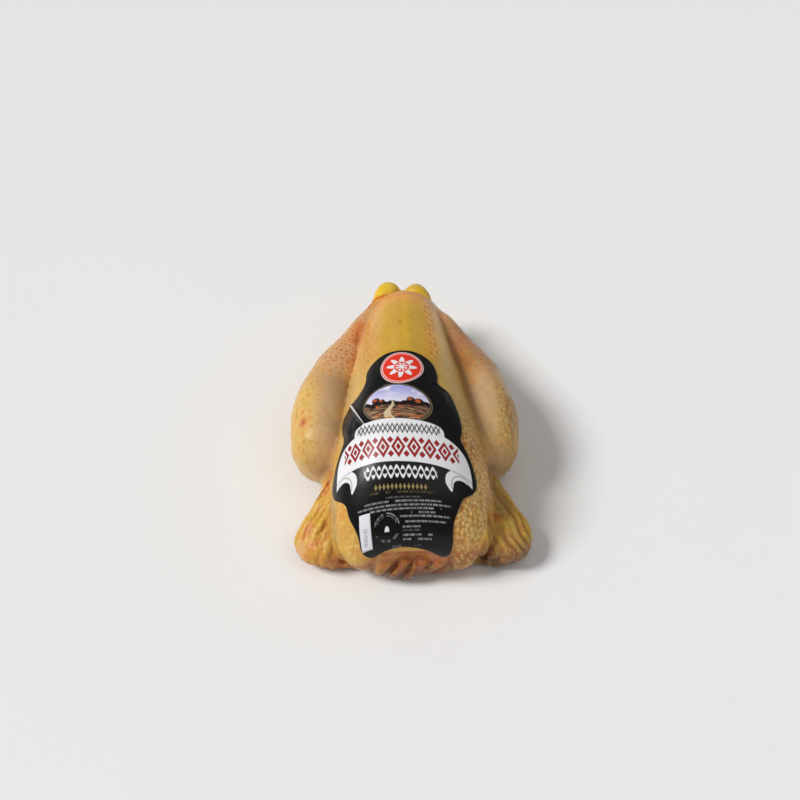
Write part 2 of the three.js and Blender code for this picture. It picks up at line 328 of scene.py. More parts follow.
class Limb:
    """A tube with rounded ends: elliptic sections carried along a path."""

    def __init__(self, stations, sign=1, out=None, fold=None):
        rows = np.asarray(stations, float)
        shift = out(rows[:, 1]) if out else 0
        self.rows = np.column_stack([sign * (rows[:, 0] + shift), rows[:, 1:]])
        self.sign = sign
        self.fold = fold
        centres = self.rows[:, :3]
        self.total = np.linalg.norm(np.diff(centres, axis=0), axis=1).sum()

    def frame(self, t):
        """Centre, directions ahead, sideways and upwards, and half sizes of the section at t."""
        rows = spline_rows(self.rows, t)
        after = spline_rows(self.rows, np.minimum(t + 0.01, 1))
        before = spline_rows(self.rows, np.maximum(t - 0.01, 0))
        ahead = unit((after - before)[..., :3])
        side = unit(np.cross(ahead, UP))
        return rows[..., :3], ahead, side, np.cross(side, ahead), rows[..., 3], rows[..., 4]

    def surface(self, step=2.4, sides=64, caps=7):
        """Rings of the tube: a wave, where it has folds, winds round its upper half and dies out at its
        ends. The caps' rings shrink as a quarter circle."""
        body = np.linspace(0, 1, int(np.ceil(self.total / step)) + 1)
        quarter = np.arange(1, caps + 1) / (caps + 1) * np.pi / 2
        t = np.concatenate([np.zeros(caps), body, np.ones(caps)])
        shift = np.concatenate([-np.sin(np.pi / 2 - quarter), np.zeros(len(body)), np.sin(quarter)])
        scale = np.concatenate([np.cos(np.pi / 2 - quarter), np.ones(len(body)), np.cos(quarter)])
        centre, ahead, side, top, wide, high = self.frame(t)
        cap = (wide + high) / 2
        centre = centre + ahead * (shift * cap)[:, None]
        angle = np.arange(sides) / sides * 2 * np.pi
        swell = np.zeros((len(t), sides))
        if self.fold:
            rise, along, around = self.fold
            wound = angle if self.sign > 0 else np.pi - angle
            swell = rise * np.maximum(np.sin(wound), 0) * np.sin(np.pi * t)[:, None]
            swell = swell * np.sin(2 * np.pi * along * t[:, None] + around * wound)
        across = (wide[:, None] + swell) * scale[:, None] * np.cos(angle)
        upward = (high[:, None] + swell) * scale[:, None] * np.sin(angle)
        rings = centre[:, None] + side[:, None] * across[..., None] + top[:, None] * upward[..., None]
        start = centre[0] - ahead[0] * cap[0] * (1 + shift[0])
        end = centre[-1] + ahead[-1] * cap[-1] * (1 - shift[-1])
        return closed_loft(rings, start, end)

    def place(self, points, samples=72):
        """For points: signed distance from the tube, place along it in mm, its angle, where +Z is a
        quarter turn and the bird's middle is half a turn, and the tube's radius there."""
        t = np.linspace(0, 1, samples)
        centre, ahead, side, top, wide, high = self.frame(t)
        nearest = np.zeros(len(points), int)
        best = np.full(len(points), 1e9)
        for k in range(samples):
            gap = ((points - centre[k]) ** 2).sum(1)
            closer = gap < best
            best = np.where(closer, gap, best)
            nearest = np.where(closer, k, nearest)
        offset = points - centre[nearest]
        onward = (offset * ahead[nearest]).sum(1)
        across = (offset * side[nearest]).sum(1) / wide[nearest]
        upward = (offset * top[nearest]).sum(1) / high[nearest]
        mean = (wide + high)[nearest] / 2
        rho = np.sqrt(across**2 + upward**2 + (onward / mean) ** 2)
        length = np.concatenate([[0], np.cumsum(np.linalg.norm(np.diff(centre, axis=0), axis=1))])
        cells = np.concatenate([[0], np.cumsum(np.diff(length) / ((wide + high)[1:] / 2))])
        return {
            "gap": (rho - 1) * mean,
            "t": t[nearest],
            "along": length[nearest] + onward,
            "cells": cells[nearest] + onward / mean,
            "angle": np.arctan2(upward, across if self.sign > 0 else -across),
            "radius": mean,
        }


def closed_loft(rings, start, end):
    """Triangles over rings of equal size with a pole at each end."""
    count, sides = rings.shape[:2]
    points = np.vstack([rings.reshape(-1, 3), start, end])
    j = np.arange(sides)
    following = (j + 1) % sides
    i = np.arange(count - 1)[:, None] * sides
    a = (i + j).ravel()
    b = (i + following).ravel()
    pole = count * sides
    last = (count - 1) * sides
    triangles = np.vstack([
        np.column_stack([np.full(sides, pole), j, following]),
        np.column_stack([np.full(sides, pole + 1), last + following, last + j]),
        np.column_stack([a, a + sides, b]),
        np.column_stack([b, a + sides, b + sides]),
    ])
    return points, triangles


def pushed_out(knee, hock):
    """How far out a limb is pushed along Y: one value up to the knee, another from the hock on."""
    return lambda y: knee + (hock - knee) * between(y, *KNEE_TO_HOCK)


def limbs():
    """All tubes of the bird by name; the name ends with + or - for the side that it is on."""
    found = {"tail": Limb(TAIL)}
    for number, stations in enumerate(NECK_FOLDS):
        found[f"neck{number}"] = Limb(stations)
    for sign, knee, hock, wing in SIDES:
        mark = "+" if sign > 0 else "-"
        found["drum" + mark] = Limb(DRUMSTICK, sign, pushed_out(knee, hock))
        found["thigh" + mark] = Limb(THIGH, sign, pushed_out(knee, hock))
        found["wing" + mark] = Limb(WING, sign, pushed_out(wing, wing), WING_FOLD)
        found["shoulder" + mark] = Limb(SHOULDER, sign)
        found["tip" + mark] = Limb(WING_TIP, sign, pushed_out(wing, wing))
    return found


def trunk_surface(rings=170, sides=220):
    """Closed surface of the trunk, with a pole 3 mm before its first ring and after its last."""
    t, angle = np.meshgrid(np.linspace(0, 1, rings), np.arange(sides) / sides * 2 * np.pi, indexing="ij")
    ends = []
    for row, step in ((TRUNK[0], -3), (TRUNK[-1], 3)):
        point = np.array([0.0, row[0] + step, row[2]])
        point[1] += cleft_push(point)
        ends.append(point)
    return closed_loft(trunk_point(t, angle), *ends)


def new_mesh(name, points, faces):
    """A smooth-shaded mesh in metres from points in mm, moved so that the bird's middle is the origin."""
    mesh = bpy.data.meshes.new(name)
    mesh.from_pydata(((points - MIDDLE) * MM).tolist(), [], faces.tolist())
    mesh.polygons.foreach_set("use_smooth", np.ones(len(faces), bool))
    mesh.update()
    return mesh


def add_piece(name, mesh):
    """Puts a mesh into the scene as an object at the origin."""
    piece = bpy.data.objects.new(name, mesh)
    bpy.context.scene.collection.objects.link(piece)
    return piece


def remeshed(parts, voxel):
    """Joins closed surfaces that run into each other by a voxel remesh. Returns points in mm, the
    quads and the edges."""
    points, triangles, start = [], [], 0
    for some, faces in parts:
        points.append(some)
        triangles.append(faces + start)
        start += len(some)
    piece = add_piece("rough", new_mesh("rough", np.vstack(points), np.vstack(triangles)))
    remesh = piece.modifiers.new("join", "REMESH")
    remesh.mode = "VOXEL"
    remesh.voxel_size = voxel * MM
    remesh.adaptivity = 0
    joined = bpy.data.meshes.new_from_object(piece.evaluated_get(bpy.context.evaluated_depsgraph_get()))
    co = np.empty(len(joined.vertices) * 3)
    joined.vertices.foreach_get("co", co)
    corners = np.empty(len(joined.loops), int)
    joined.loops.foreach_get("vertex_index", corners)
    edges = np.empty(len(joined.edges) * 2, int)
    joined.edges.foreach_get("vertices", edges)
    if len(corners) != 4 * len(joined.polygons):
        raise RuntimeError("the remesh gave faces that aren't quads")
    bpy.data.objects.remove(piece)
    bpy.data.meshes.remove(joined)
    return co.reshape(-1, 3) / MM + MIDDLE, corners.reshape(-1, 4), edges.reshape(-1, 2)


def settled(points, edges, rounds, share=0.5, hold=None):
    """Moves every point towards the mean of its neighbours, again and again."""
    count = len(points)
    ends = np.concatenate([edges[:, 0], edges[:, 1]])
    others = np.concatenate([edges[:, 1], edges[:, 0]])
    degree = np.maximum(np.bincount(ends, minlength=count), 1)
    share = share if hold is None else (share * (1 - hold))[:, None]
    for _ in range(rounds):
        mean = np.stack([np.bincount(ends, points[others, k], count) for k in range(3)], 1) / degree[:, None]
        points = points + (mean - points) * share
    return points


def spread(values, edges, rounds):
    """Smooths one number over the mesh in the same way."""
    return settled(values[:, None].repeat(3, 1), edges, rounds, 0.6)[:, 0]


def normals_of(points, quads):
    """Point normals: the mean of the cross products of the diagonals of the quads round each point."""
    cross = np.cross(points[quads[:, 2]] - points[quads[:, 0]], points[quads[:, 3]] - points[quads[:, 1]])
    total = np.zeros_like(points)
    for k in range(4):
        for axis in range(3):
            total[:, axis] += np.bincount(quads[:, k], cross[:, axis], len(points))
    return unit(total)


def off_floor(height):
    """Heights kept 0.3 mm or more above the floor: a parabola that meets the plain height at 1.2 mm."""
    low = np.maximum(height, 0)
    return np.where(height < 1.2, low**2 / 4.8 + 0.3 + 0.5 * low, height)


def store_vectors(mesh, name, vectors):
    """Stores three numbers for each point, under a name that a material reads."""
    layer = mesh.attributes.new(name, "FLOAT_VECTOR", "POINT")
    layer.data.foreach_set("vector", vectors.ravel())


def ink(red, green, blue):
    """A colour of the screen, 0 to 255, as the linear colour that shaders use."""
    value = np.array([red, green, blue]) / 255
    return np.where(value <= 0.04045, value / 12.92, ((value + 0.055) / 1.055) ** 2.4)


def inks(table):
    """A table of screen colours as linear colours."""
    return {name: ink(*value) for name, value in table.items()}


# Colours of the skin, as they show on a screen
HUES = {
    "gold": (208, 164, 54),
    "pale": (214, 178, 108),
    "amber": (222, 152, 56),
    "orange": (214, 128, 50),
    "lemon": (240, 200, 56),
    "pink": (222, 172, 130),
    "blush": (212, 176, 146),
    "tan": (198, 160, 112),
    "yellow": (226, 186, 92),
    "butter": (226, 188, 84),
    "red": (206, 44, 20),
    "honey": (200, 128, 40),
    "flush": (214, 104, 58),
    "rust": (186, 96, 44),
    "cream": (232, 204, 158),
    "stripe": (196, 176, 126),
    "moss": (168, 156, 104),
    # blood: real blood, and also painted shadow in recesses and the neck's deepest grooves
    "blood": (122, 22, 16),
    "brown": (112, 66, 32),
    "neck": (204, 118, 62),
    "raw": (168, 58, 36),
    "pearl": (220, 184, 150),
    # Painted highlight on the goosebumps' tops and painted shade between them
    "painted highlight on bumps": (236, 194, 122),
    "painted shade between bumps": (162, 88, 34),
    "dot": (202, 122, 26),
    "red dot": (186, 86, 46),
    "dash": (186, 88, 52),
}

# Folds and hollows pressed into the skin round the neck and wings: name, from, to, width and height
FOLDS = [
    ("beside the left lobe", (-35, -118, 8), (-31, -116, 46), 3.4, -3.6),
    ("beside the right lobe", (32, -118, 8), (30, -116, 44), 3.2, -3.4),
    ("over the neck", (-22, -117, 43), (20, -117, 42), 4.2, -2.4),
    ("outer left fold", (-31, -118, 10), (-15, -117, 36), 3.6, 2.4),
    ("first groove", (-25, -118, 7), (-8, -117, 36), 1.9, -3.0),
    ("left leaf", (-20, -118, 8), (-1, -117, 36), 3.4, 3.0),
    ("second groove", (-13, -118, 6), (5, -117, 34), 1.9, -3.2),
    ("middle leaf", (-8, -118, 6), (12, -117, 34), 3.6, 3.2),
    ("third groove", (0, -118, 5), (18, -117, 32), 1.9, -3.0),
    ("right leaf", (6, -118, 5), (25, -117, 31), 3.4, 2.8),
    ("fourth groove", (14, -118, 5), (29, -116, 26), 1.9, -2.6),
    ("red lump", (8, -117, 27), (16, -116, 31), 3.4, 2.0),
    ("left lobe", (-50, -110, 18), (-46, -112, 26), 9.0, 1.6),
    ("right lobe", (48, -112, 16), (46, -112, 24), 9.0, 1.8),
    ("left armpit", (-62, -98, 10), (-58, -84, 52), 3.6, -3.0),
    ("right armpit", (63, -100, 10), (60, -84, 50), 3.6, -3.0),
    ("elbow fold of the left wing", (-70, -52, 46), (-92, -88, 30), 2.6, -1.6),
    ("back fold of the left wing", (-62, -66, 52), (-78, -100, 34), 2.4, -1.5),
    ("elbow fold of the right wing", (70, -52, 44), (92, -88, 30), 2.6, -1.8),
    ("back fold of the right wing", (66, -70, 46), (82, -102, 30), 2.4, -1.6),
    ("left thigh crease", (-43, 108, 76), (-50, 60, 70), 2.2, -0.9),
    ("right thigh crease", (40, 100, 78), (50, 20, 78), 2.4, -1.0),
]

# How far the left and right side's limbs are moved from where the tables put them
WING_LEAN = (6.5, 3.5)
KNEE_PULL = (4.5, 2.0)
HOCK_LIFT = (3.6, 0.8)
# Y at which the skin of the left and the right leg ends, and how far the bare end lies below it
CUT_AT = (154, 158.5)
CUT_STEP = 0.9
# Wavelengths of the folds and fine wrinkles on the wings, and of the ridges on the neck
WING_WAVE = 7.2
WING_WRINKLE = 3.3
NECK_WAVE = 3.4

# The follicle lattice: how far one cell reaches across and along, in mm
BREAST_CELL = (5.2, 7.4)
LOBE_CELL = (3.0, 4.1)
FACING_CELL = (3.1, 3.9)
LIMB_CELL = (4.6, 4.8)
# Its slant on the breast, the lobes' mean radius, and cells for each radian and each radius of a leg
BREAST_SLANT = 15
LOBE_RADIUS = 52
LEG_CELLS = (3.9, 4.0)
LEG_FACING = 2.4
# Factors of the sines that move each cell's middle, and how far they move it
CELL_SEEDS = (12.9898, 78.233, 39.346, 11.135)
CELL_SHIFT = 0.22

# Painted light and shade: places made lighter or darker than the rest by how light falls on them:
# name, from, to, width and factor
PAINTED_LIGHT_AND_SHADE = [
    ("right of the breast", (22, 126, 92), (26, 60, 104), 14, 1.35),
    ("right flank", (50, 70, 86), (52, -20, 88), 11, 0.78),
    ("rear of the breast", (-12, 140, 92), (12, 140, 92), 14, 1.2),
    ("left flank", (-46, 90, 74), (-54, 10, 76), 12, 1.15),
    ("upper right leg", (46, 110, 70), (58, 66, 76), 14, 0.62),
    ("outside of the right leg", (94, 8, 62), (88, 60, 60), 15, 0.55),
    ("under the right knee", (88, -24, 38), (66, -34, 32), 17, 0.6),
    ("under the left knee", (-80, -26, 46), (-64, -32, 40), 12, 0.78),
    ("inside of the left leg", (-60, 40, 70), (-58, -10, 66), 13, 0.55),
    ("right lobe", (52, -66, 72), (50, -104, 52), 16, 1.95),
    ("right wing, top", (68, -46, 44), (80, -70, 42), 13, 0.62),
    ("right wing end", (90, -104, 14), (68, -110, 14), 17, 0.24),
    ("side of the left lobe", (-63, -60, 56), (-61, -100, 30), 8, 0.85),
    ("neck", (-26, -118, 14), (28, -118, 14), 18, 0.37),
    ("groove by the right wing", (62, -78, 62), (64, -104, 26), 6, 0.55),
]

# Marks that the skin carries, drawn from one point to another: name, from, to, width in mm, colour
# and strength
MARKS = [
    ("blood spot", (-91, 1, 73), (-91, -1, 72), 2.2, "blood", 0.85),
    ("halo of the spot", (-91, 0, 73), (-91, 1, 73), 5.5, "flush", 0.5),
    ("patch at the left hock", (-43, 118, 77), (-48, 98, 77), 5.0, "flush", 0.75),
    ("end of that patch", (-46, 100, 79), (-47, 96, 78), 3.0, "raw", 0.5),
    ("left cut line, outer", (-39, 145, 71), (-31, 157.2, 72.7), 1.3, "red", 1.3),
    ("left cut line, inner", (-31, 157.2, 72.7), (-17, 161.5, 77), 1.3, "red", 1.3),
    ("right cut line, inner", (3, 155, 86), (16.3, 153.2, 83.3), 1.3, "red", 1.3),
    ("right cut line, outer", (16.3, 153.2, 83.3), (22, 152.5, 80), 1.5, "rust", 1.0),
    ("dark spot at the right rim", (26.6, 144, 79), (27.8, 138, 80), 3.0, "blood", 0.85),
    ("right rim", (30, 136, 80), (34, 112, 80), 4.0, "flush", 0.35),
    ("speck on the breast", (-5.4, 91, 106.5), (-5.4, 89.5, 106.8), 1.3, "brown", 0.7),
    ("upper streak of the left wing", (-68, -40, 45), (-74, -48, 39.5), 3.0, "red", 0.9),
    ("blood streak of the left wing", (-70, -42, 43), (-80, -54, 34), 1.6, "blood", 1.1),
    ("red patch of the left wing", (-90, -91, 28), (-84, -84, 33), 3.2, "flush", 1.1),
    ("second patch of the left wing", (-86, -98, 27), (-77, -97, 32), 3.0, "flush", 0.8),
    ("pale lump of the left wing", (-94.5, -97.5, 17), (-91, -98, 24), 5.0, "pearl", 1.1),
    ("left wing end", (-80, -106, 20), (-58, -108, 16), 10.0, "orange", 0.8),
    # Bare skin beside the left lobe, greyed as painted shade where it turns away
    ("grey stripe by the left lobe", (-63.5, -68, 64), (-62, -100, 42), 4.5, "stripe", 1.0),
    ("right wing, red above", (64, -52, 50), (70, -60, 46), 4.0, "raw", 0.5),
    ("right wing, green patch", (72, -62, 44), (77, -72, 42), 5.0, "moss", 0.7),
    ("right wing, red spot", (70, -80, 42), (76, -80, 40), 2.6, "raw", 0.75),
    ("right wing, grey green", (84, -84, 38), (88, -92, 34), 4.0, "moss", 0.5),
    ("right wing end", (72, -106, 22), (96, -102, 20), 9.0, "pink", 0.7),
    ("right wing end, red", (62, -104, 24), (84, -108, 16), 6.0, "raw", 0.6),
    ("right wing lower edge", (84, -110, 12), (100, -100, 12), 4.5, "rust", 0.6),
    ("knee dot", (90, -22, 58), (90, -23, 57), 1.7, "brown", 0.65),
    ("shaft below the left knee", (-92, -23, 62), (-90.5, -28, 59), 1.0, "brown", 0.75),
    ("shaft on the left knee", (-97.5, 14, 69), (-97.5, 9, 69), 0.9, "brown", 0.6),
    ("warm patch of the right leg", (53, 66, 80), (56, 38, 79), 6.0, "amber", 0.75),
    ("red of the right leg", (48, 92, 76), (50, 66, 80), 3.5, "flush", 0.4),
    ("neck, red lump", (6, -116, 25), (17, -114, 29), 4.5, "raw", 0.8),
    # Painted shadow: dark blood red in the recesses by the neck and beside the lobes
    ("neck, dark recess", (-48, -114, 24), (-40, -117, 22), 4.5, "blood", 0.5),
    ("recess beside the right lobe", (58, -104, 34), (62, -96, 22), 4.0, "blood", 0.55),
    ("recess beside the left lobe", (-56, -106, 26), (-58, -98, 16), 4.0, "blood", 0.5),
    ("orange under the left lobe", (-22, -118, 34), (-30, -118, 24), 6.0, "rust", 0.6),
    ("red of the right lobe, low", (34, -114, 34), (52, -110, 32), 8.5, "rust", 0.8),
    ("red of the right lobe, inner", (38, -102, 66), (36, -110, 50), 3.4, "flush", 0.35),
    ("left lobe, inner edge", (-42, -104, 62), (-42, -113, 46), 3.6, "pink", 0.5),
]


def stroke(points, start, end, width, normal=None):
    """A soft brush mark: a bell of the distance to the straight line from start to end. Where normals
    are given, a distance along them counts a quarter."""
    start = np.asarray(start, float)
    line = np.asarray(end, float) - start
    share = np.clip(((points - start) @ line) / max(line @ line, 1e-9), 0, 1)
    gap = points - start - share[:, None] * line
    if normal is not None:
        gap = gap - 0.75 * normal * (gap * normal).sum(1)[:, None]
    return np.exp(-((gap**2).sum(1) / width**2))


def scatter(tract):
    """Where each point lies in its follicle's cell. Rows are staggered, and each cell's middle is moved
    by sines of its numbers. The first sine is returned too."""
    row = np.floor(tract[:, 1])
    across = tract[:, 0] + 0.5 * (row % 2)
    column = np.floor(across)
    one = np.sin(column * CELL_SEEDS[0] + row * CELL_SEEDS[1])
    two = np.sin(column * CELL_SEEDS[2] + row * CELL_SEEDS[3])
    u = across - column - 0.5 - CELL_SHIFT * one
    v = tract[:, 1] - row - 0.5 - CELL_SHIFT * two
    return u, v, one


class Skin:
    """The bird's skin: its mesh, and the fields that shape and colour it."""

    def __init__(self, settings):
        self.settings = settings
        self.map = TrunkMap()
        self.limbs = limbs()
        parts = [trunk_surface()] + [limb.surface() for limb in self.limbs.values()]
        self.points, self.quads, self.edges = remeshed(parts, settings.voxel / MM)
        self.points = settled(self.points, self.edges, 5)
        self.normal = normals_of(self.points, self.quads)
        self.find_places()
        self.shape()
        self.colour()

    def find_places(self):
        """Which part of the bird each point belongs to: the share of a part falls off with the
        distance from its own surface."""
        points = self.points
        self.t, self.turn, gap = self.map.place(points)
        self.reach = self.map.look(self.map.reach, self.t, self.turn)
        self.front = between(-points[:, 1], 30, 46)
        self.at = {name: limb.place(points) for name, limb in self.limbs.items()}
        self.names = ["trunk"] + list(self.at)
        gaps = np.stack([gap] + [self.at[name]["gap"] for name in self.names[1:]], 1)
        order = np.sort(gaps, 1)
        share = np.exp(-(gaps - order[:, :1]) / 1.3)
        share /= share.sum(1, keepdims=True)
        self.share = {name: share[:, k] for k, name in enumerate(self.names)}
        self.owner = np.argmin(gaps, 1)
        self.seam = between(order[:, 1] - order[:, 0], 0.6, 3.5)
        self.trunk = self.part("trunk")
        self.legs = self.part("drum", "thigh")
        self.wings = self.part("wing", "shoulder", "tip")
        self.necks = self.part("neck")
        smoothed = settled(points, self.edges, 14)
        self.crease = np.clip(((smoothed - points) * self.normal).sum(1) / 1.1, 0, 1)
        edge_y, left_edge, right_edge = np.array(LABEL, float)[::-1].T
        left = np.interp(points[:, 1], edge_y, left_edge)
        right = np.interp(points[:, 1], edge_y, right_edge)
        inside = smooth((self.reach - left) / 3) * smooth((right - self.reach) / 3)
        self.covered = inside * (points[:, 1] < LABEL_TOP) * (points[:, 1] > -119) * (points[:, 2] > 30)

    def part(self, *starts):
        """Share of the parts whose names start with one of the given words."""
        return sum(self.share[name] for name in self.names if name.startswith(starts))

    def laid_limbs(self):
        """Moved points: the neck's tubes are softened, the wings lean in, the knees are drawn towards
        the hocks and the hocks are lifted, each side by its own measure."""
        points = settled(self.points, self.edges, 16, hold=1 - between(self.necks, 0.1, 0.6))
        side = np.sign(points[:, 0])
        lean = np.where(side < 0, *WING_LEAN) * self.part("wing", "tip") * between(points[:, 2], 8, 34)
        lean = lean * bell(points[:, 1], -76, 34) * between(np.abs(points[:, 0]), 66, 84)
        points[:, 0] -= side * lean
        knees = self.legs * between(-points[:, 1], 8, 30)
        points[:, 1] += knees * np.where(side < 0, *KNEE_PULL)
        points[:, 2] += self.legs * between(points[:, 1], 148, 162) * np.where(side < 0, *HOCK_LIFT)
        return points, side

    def lumps(self, points):
        """Soft lumps: value noise of three sizes, strongest on the wings and weakest on the breast, and
        halved at the hocks."""
        height = 0.8 * noise(points, 26, 1) + 0.45 * noise(points, 11, 2) + 0.2 * noise(points, 5, 3)
        fleshy = 0.5 * self.trunk + 1.1 * self.legs + 1.3 * self.wings + 1.2 * self.necks + self.part("tail")
        hocks = between(points[:, 1], 140, 160) * self.legs
        return height * (fleshy * (1 - 0.5 * hocks)) * self.settings.lumps

    def folds(self, points, side):
        """Folds: bent sine waves, diagonal on the wings and nearly upright on the neck, and the named
        folds and hollows, each a bell of the distance from its line."""
        bend = noise(points, 18, 4) * 4.2 + noise(points, 8, 5) * 1.6 + noise(points, 4, 6) * 0.5
        phase = 0.70 * side * points[:, 0] + 0.66 * points[:, 1] - 0.27 * points[:, 2] + bend
        wave = np.sin(2 * np.pi * phase / WING_WAVE)
        patchy = between(noise(points, 16, 7), -0.9, 0.3)
        self.groove = self.wings * between(-wave, 0.4, 0.96) * patchy
        fine = np.sin(2 * np.pi * (phase + 1.2 * bend) / WING_WRINKLE)
        height = self.wings * (0.85 * wave * patchy - 0.9 * self.groove + 0.2 * fine)
        around = points[:, 0] * 0.94 - points[:, 2] * 0.42 + bend * 0.4
        ridges = np.sin(2 * np.pi * around / NECK_WAVE)
        self.ridge = self.necks * between(-ridges, 0.2, 1)
        height = height + self.necks * (0.35 * ridges - 0.2 * self.ridge)
        self.trench = np.zeros(len(points))
        uneven = 1 + 0.25 * noise(points, 6, 8)
        for _, start, end, width, rise in FOLDS:
            mark = stroke(points, start, end, width, self.normal) * uneven
            height = height + rise * mark
            if rise < 0:
                self.trench = np.maximum(self.trench, mark * min(-rise / 2.5, 1))
        return height

    def follicles(self):
        """Coordinates of the follicle lattice, one cell for each feather. They follow each part's own
        surface, are flat on surfaces that face along Y, and wander a little."""
        points = self.points
        wander = 0.4 * np.stack([noise(points, 13, 21), noise(points, 13, 22)], 1)
        wander += 0.24 * np.stack([noise(points, 6, 23), noise(points, 6, 24)], 1)
        rows = (self.owner == 0) & (self.lobes <= 0.5)
        wander = np.where(rows[:, None], 0.4 * wander, wander)
        length = self.map.look(self.map.length, self.t, self.turn)
        slanted = points[:, 1] / BREAST_CELL[1] + np.abs(self.reach) / BREAST_SLANT
        breast = np.stack([self.reach / BREAST_CELL[0], slanted], 1)
        lobe = np.stack([self.turn * LOBE_RADIUS / LOBE_CELL[0], length / LOBE_CELL[1]], 1)
        facing = (np.abs(self.normal[:, 1]) > 0.76)[:, None]
        flat = points[:, [0, 2]] / FACING_CELL
        lobe = np.where(facing, flat, lobe)
        choices = [np.where((self.lobes > 0.5)[:, None], lobe, breast)]
        for name in self.names[1:]:
            place = self.at[name]
            if name.startswith(("drum", "thigh")):
                found = np.stack([place["angle"] * LEG_CELLS[0], place["cells"] * LEG_CELLS[1]], 1)
                choices.append(np.where(facing, flat / LEG_FACING, found))
            else:
                round_it = place["angle"] * place["radius"]
                choices.append(np.stack([round_it, place["along"]], 1) / LIMB_CELL)
        return np.stack(choices, 1)[np.arange(len(points)), self.owner] + wander

    def unbroken(self):
        """1 where the follicle lattice runs on, and 0 where the points of a face lie more than a cell
        apart in it."""
        jump = np.linalg.norm(self.tract[self.edges[:, 0]] - self.tract[self.edges[:, 1]], axis=1) > 1.1
        torn = np.bincount(self.edges[jump].ravel(), minlength=len(self.points)) > 0
        return 1 - between(spread(torn.astype(float), self.edges, 1), 0.03, 0.36)

    def dome(self):
        """Height of the swelling round each follicle, from 0 to 1."""
        across, along, one = scatter(self.tract)
        return 1 - smooth(np.hypot(across, along) / (0.48 + 0.06 * one))

    def goosebumps(self, points):
        """Share of goosebumps: full on the front's right side and the outside of the right knee, less on
        the front's left side and the wings, and nearly none in hollows."""
        onset = between(-points[:, 1] + 14 * noise(points, 15, 14), -12, 46)
        right_side = self.trunk * onset * between(points[:, 0], 20, 42)
        left_side = self.trunk * onset * between(-points[:, 0], 20, 42)
        knee = self.part("drum+", "thigh+") * between(self.at["drum+"]["angle"], 1.45, 0.9)
        knee = knee * between(points[:, 1], 50, 28) * between(points[:, 1], -34, -12)
        share = np.clip(right_side + 0.32 * left_side + 0.6 * knee + 0.2 * self.wings, 0, 1) * self.seam
        return share * (1 - 0.8 * np.clip(self.necks + self.trench, 0, 1))

    def shape(self):
        """Raises and lowers the laid skin along its normal by lumps, folds, goosebumps and follicles.
        The relief fades out under the label and is held above the floor."""
        points, side = self.laid_limbs()
        folds = self.folds(points, side)
        edge = np.where(side < 0, *CUT_AT) + 2 * noise(points, 12, 9)
        self.bare = self.legs * between(points[:, 1], edge, edge + 2.5)
        self.cut_edge = self.legs * bell(points[:, 1], edge, 1.5) * (side > 0)
        folds = folds - CUT_STEP * self.bare
        self.lobes = self.front * between(noise(points, 12, 10) * 0.35 + self.front, 0.35, 0.65)
        self.tract = self.follicles()
        self.whole = self.unbroken()
        self.goose = self.goosebumps(points)
        bumps = self.goose * noise(points * [1, 0.9, 0.7], 2.8, 15) * self.settings.goosebumps / MM
        outer = self.legs * between(np.abs(points[:, 0]), 74, 92)
        bumps = bumps + 0.3 * outer * self.seam * self.whole * self.dome() * (1 - self.goose)
        height = self.lumps(points) + folds + bumps
        height = height * (1 - self.covered) - 0.25 * self.covered
        self.points = settled(points + self.normal * height[:, None], self.edges, 1, 0.3)
        self.points[:, 2] = off_floor(self.points[:, 2])
        self.normal = normals_of(self.points, self.quads)

    def paint(self, name, amount):
        """Mixes the skin's colour with a named one, by an amount from 0 to 1."""
        self.tint = self.tint + (self.hue[name] - self.tint) * np.clip(amount, 0, 1)[:, None]

    def colour(self):
        """Colour of the skin before its follicles, from the base colour up, and the masks that the
        material reads. Clouds, mist and grit are noise of three sizes."""
        points = self.points
        x, y, _ = points.T
        self.hue = inks(HUES)
        self.hue["gold"] = np.array(self.settings.skin_colour)
        self.cloud = noise(points, 20, 11)
        self.mist = noise(points, 7, 12)
        self.grit = noise(points, 3, 13)
        bands = bell(self.reach, -38, 11) + bell(self.reach, 24, 7)
        self.bands = bands * between(y, 20, 52) * between(y, 152, 132)
        self.left_lobe = self.trunk * self.lobes * between(-x, -14, 16)
        self.right_lobe = self.trunk * self.lobes * between(x, -14, 16)
        self.outer = between(np.abs(x), 70, 90)
        self.upper = between(y, 30, 84)
        self.tint = np.tile(self.hue["gold"], (len(points), 1))
        self.paint_trunk()
        self.paint_legs()
        self.paint_wings()
        self.paint_neck()
        self.paint_marks()
        self.find_masks()

    def paint_trunk(self):
        """Breast: pale flanks, the left one lightened with cream as painted light, a lemon crest, amber bands
        of
        follicles and an orange rear rim. Lobes: yellow on the left, tan and amber on the right. Beside the
        left lobe, a grey stripe of bare skin, greyed partly as painted shade."""
        x, y, _ = self.points.T
        trunk, reach, mist = self.trunk, self.reach, self.mist
        self.paint("pale", trunk * between(np.abs(reach + 3), 14, 34) * 0.75)
        self.paint("pale", trunk * (bell(reach, -11, 5) + 0.7 * bell(reach, 8, 4)) * between(y, 40, 60) * 0.3)
        self.paint("lemon", trunk * bell(reach, -1, 3.0) * between(y, 45, 70) * 0.3)
        self.paint("amber", trunk * between(y, 108, 146) * 0.85)
        self.paint("orange", trunk * between(y, 132, 152) * 0.45)
        self.paint("amber", trunk * self.bands * 0.55)
        self.paint("pale", trunk * between(-reach, 40, 54) * 0.8)
        # Painted light: cream on the left flank
        self.paint("cream", trunk * between(-reach, 46, 56) * between(y, -10, 20) * 0.4)
        self.paint("yellow", self.left_lobe * 0.9)
        self.paint("amber", self.left_lobe * between(mist, 0.0, 0.7) * 0.55)
        self.paint("tan", self.right_lobe * 0.55)
        self.paint("amber", self.right_lobe * between(mist, -0.4, 0.5) * 0.6)
        # Bare skin beside the left lobe, paler, and greyed as painted shade where it turns away
        self.paint("stripe", trunk * bell(np.abs(reach), 86, 8) * between(-y, 64, 78) * (x < 0) * 1.2)

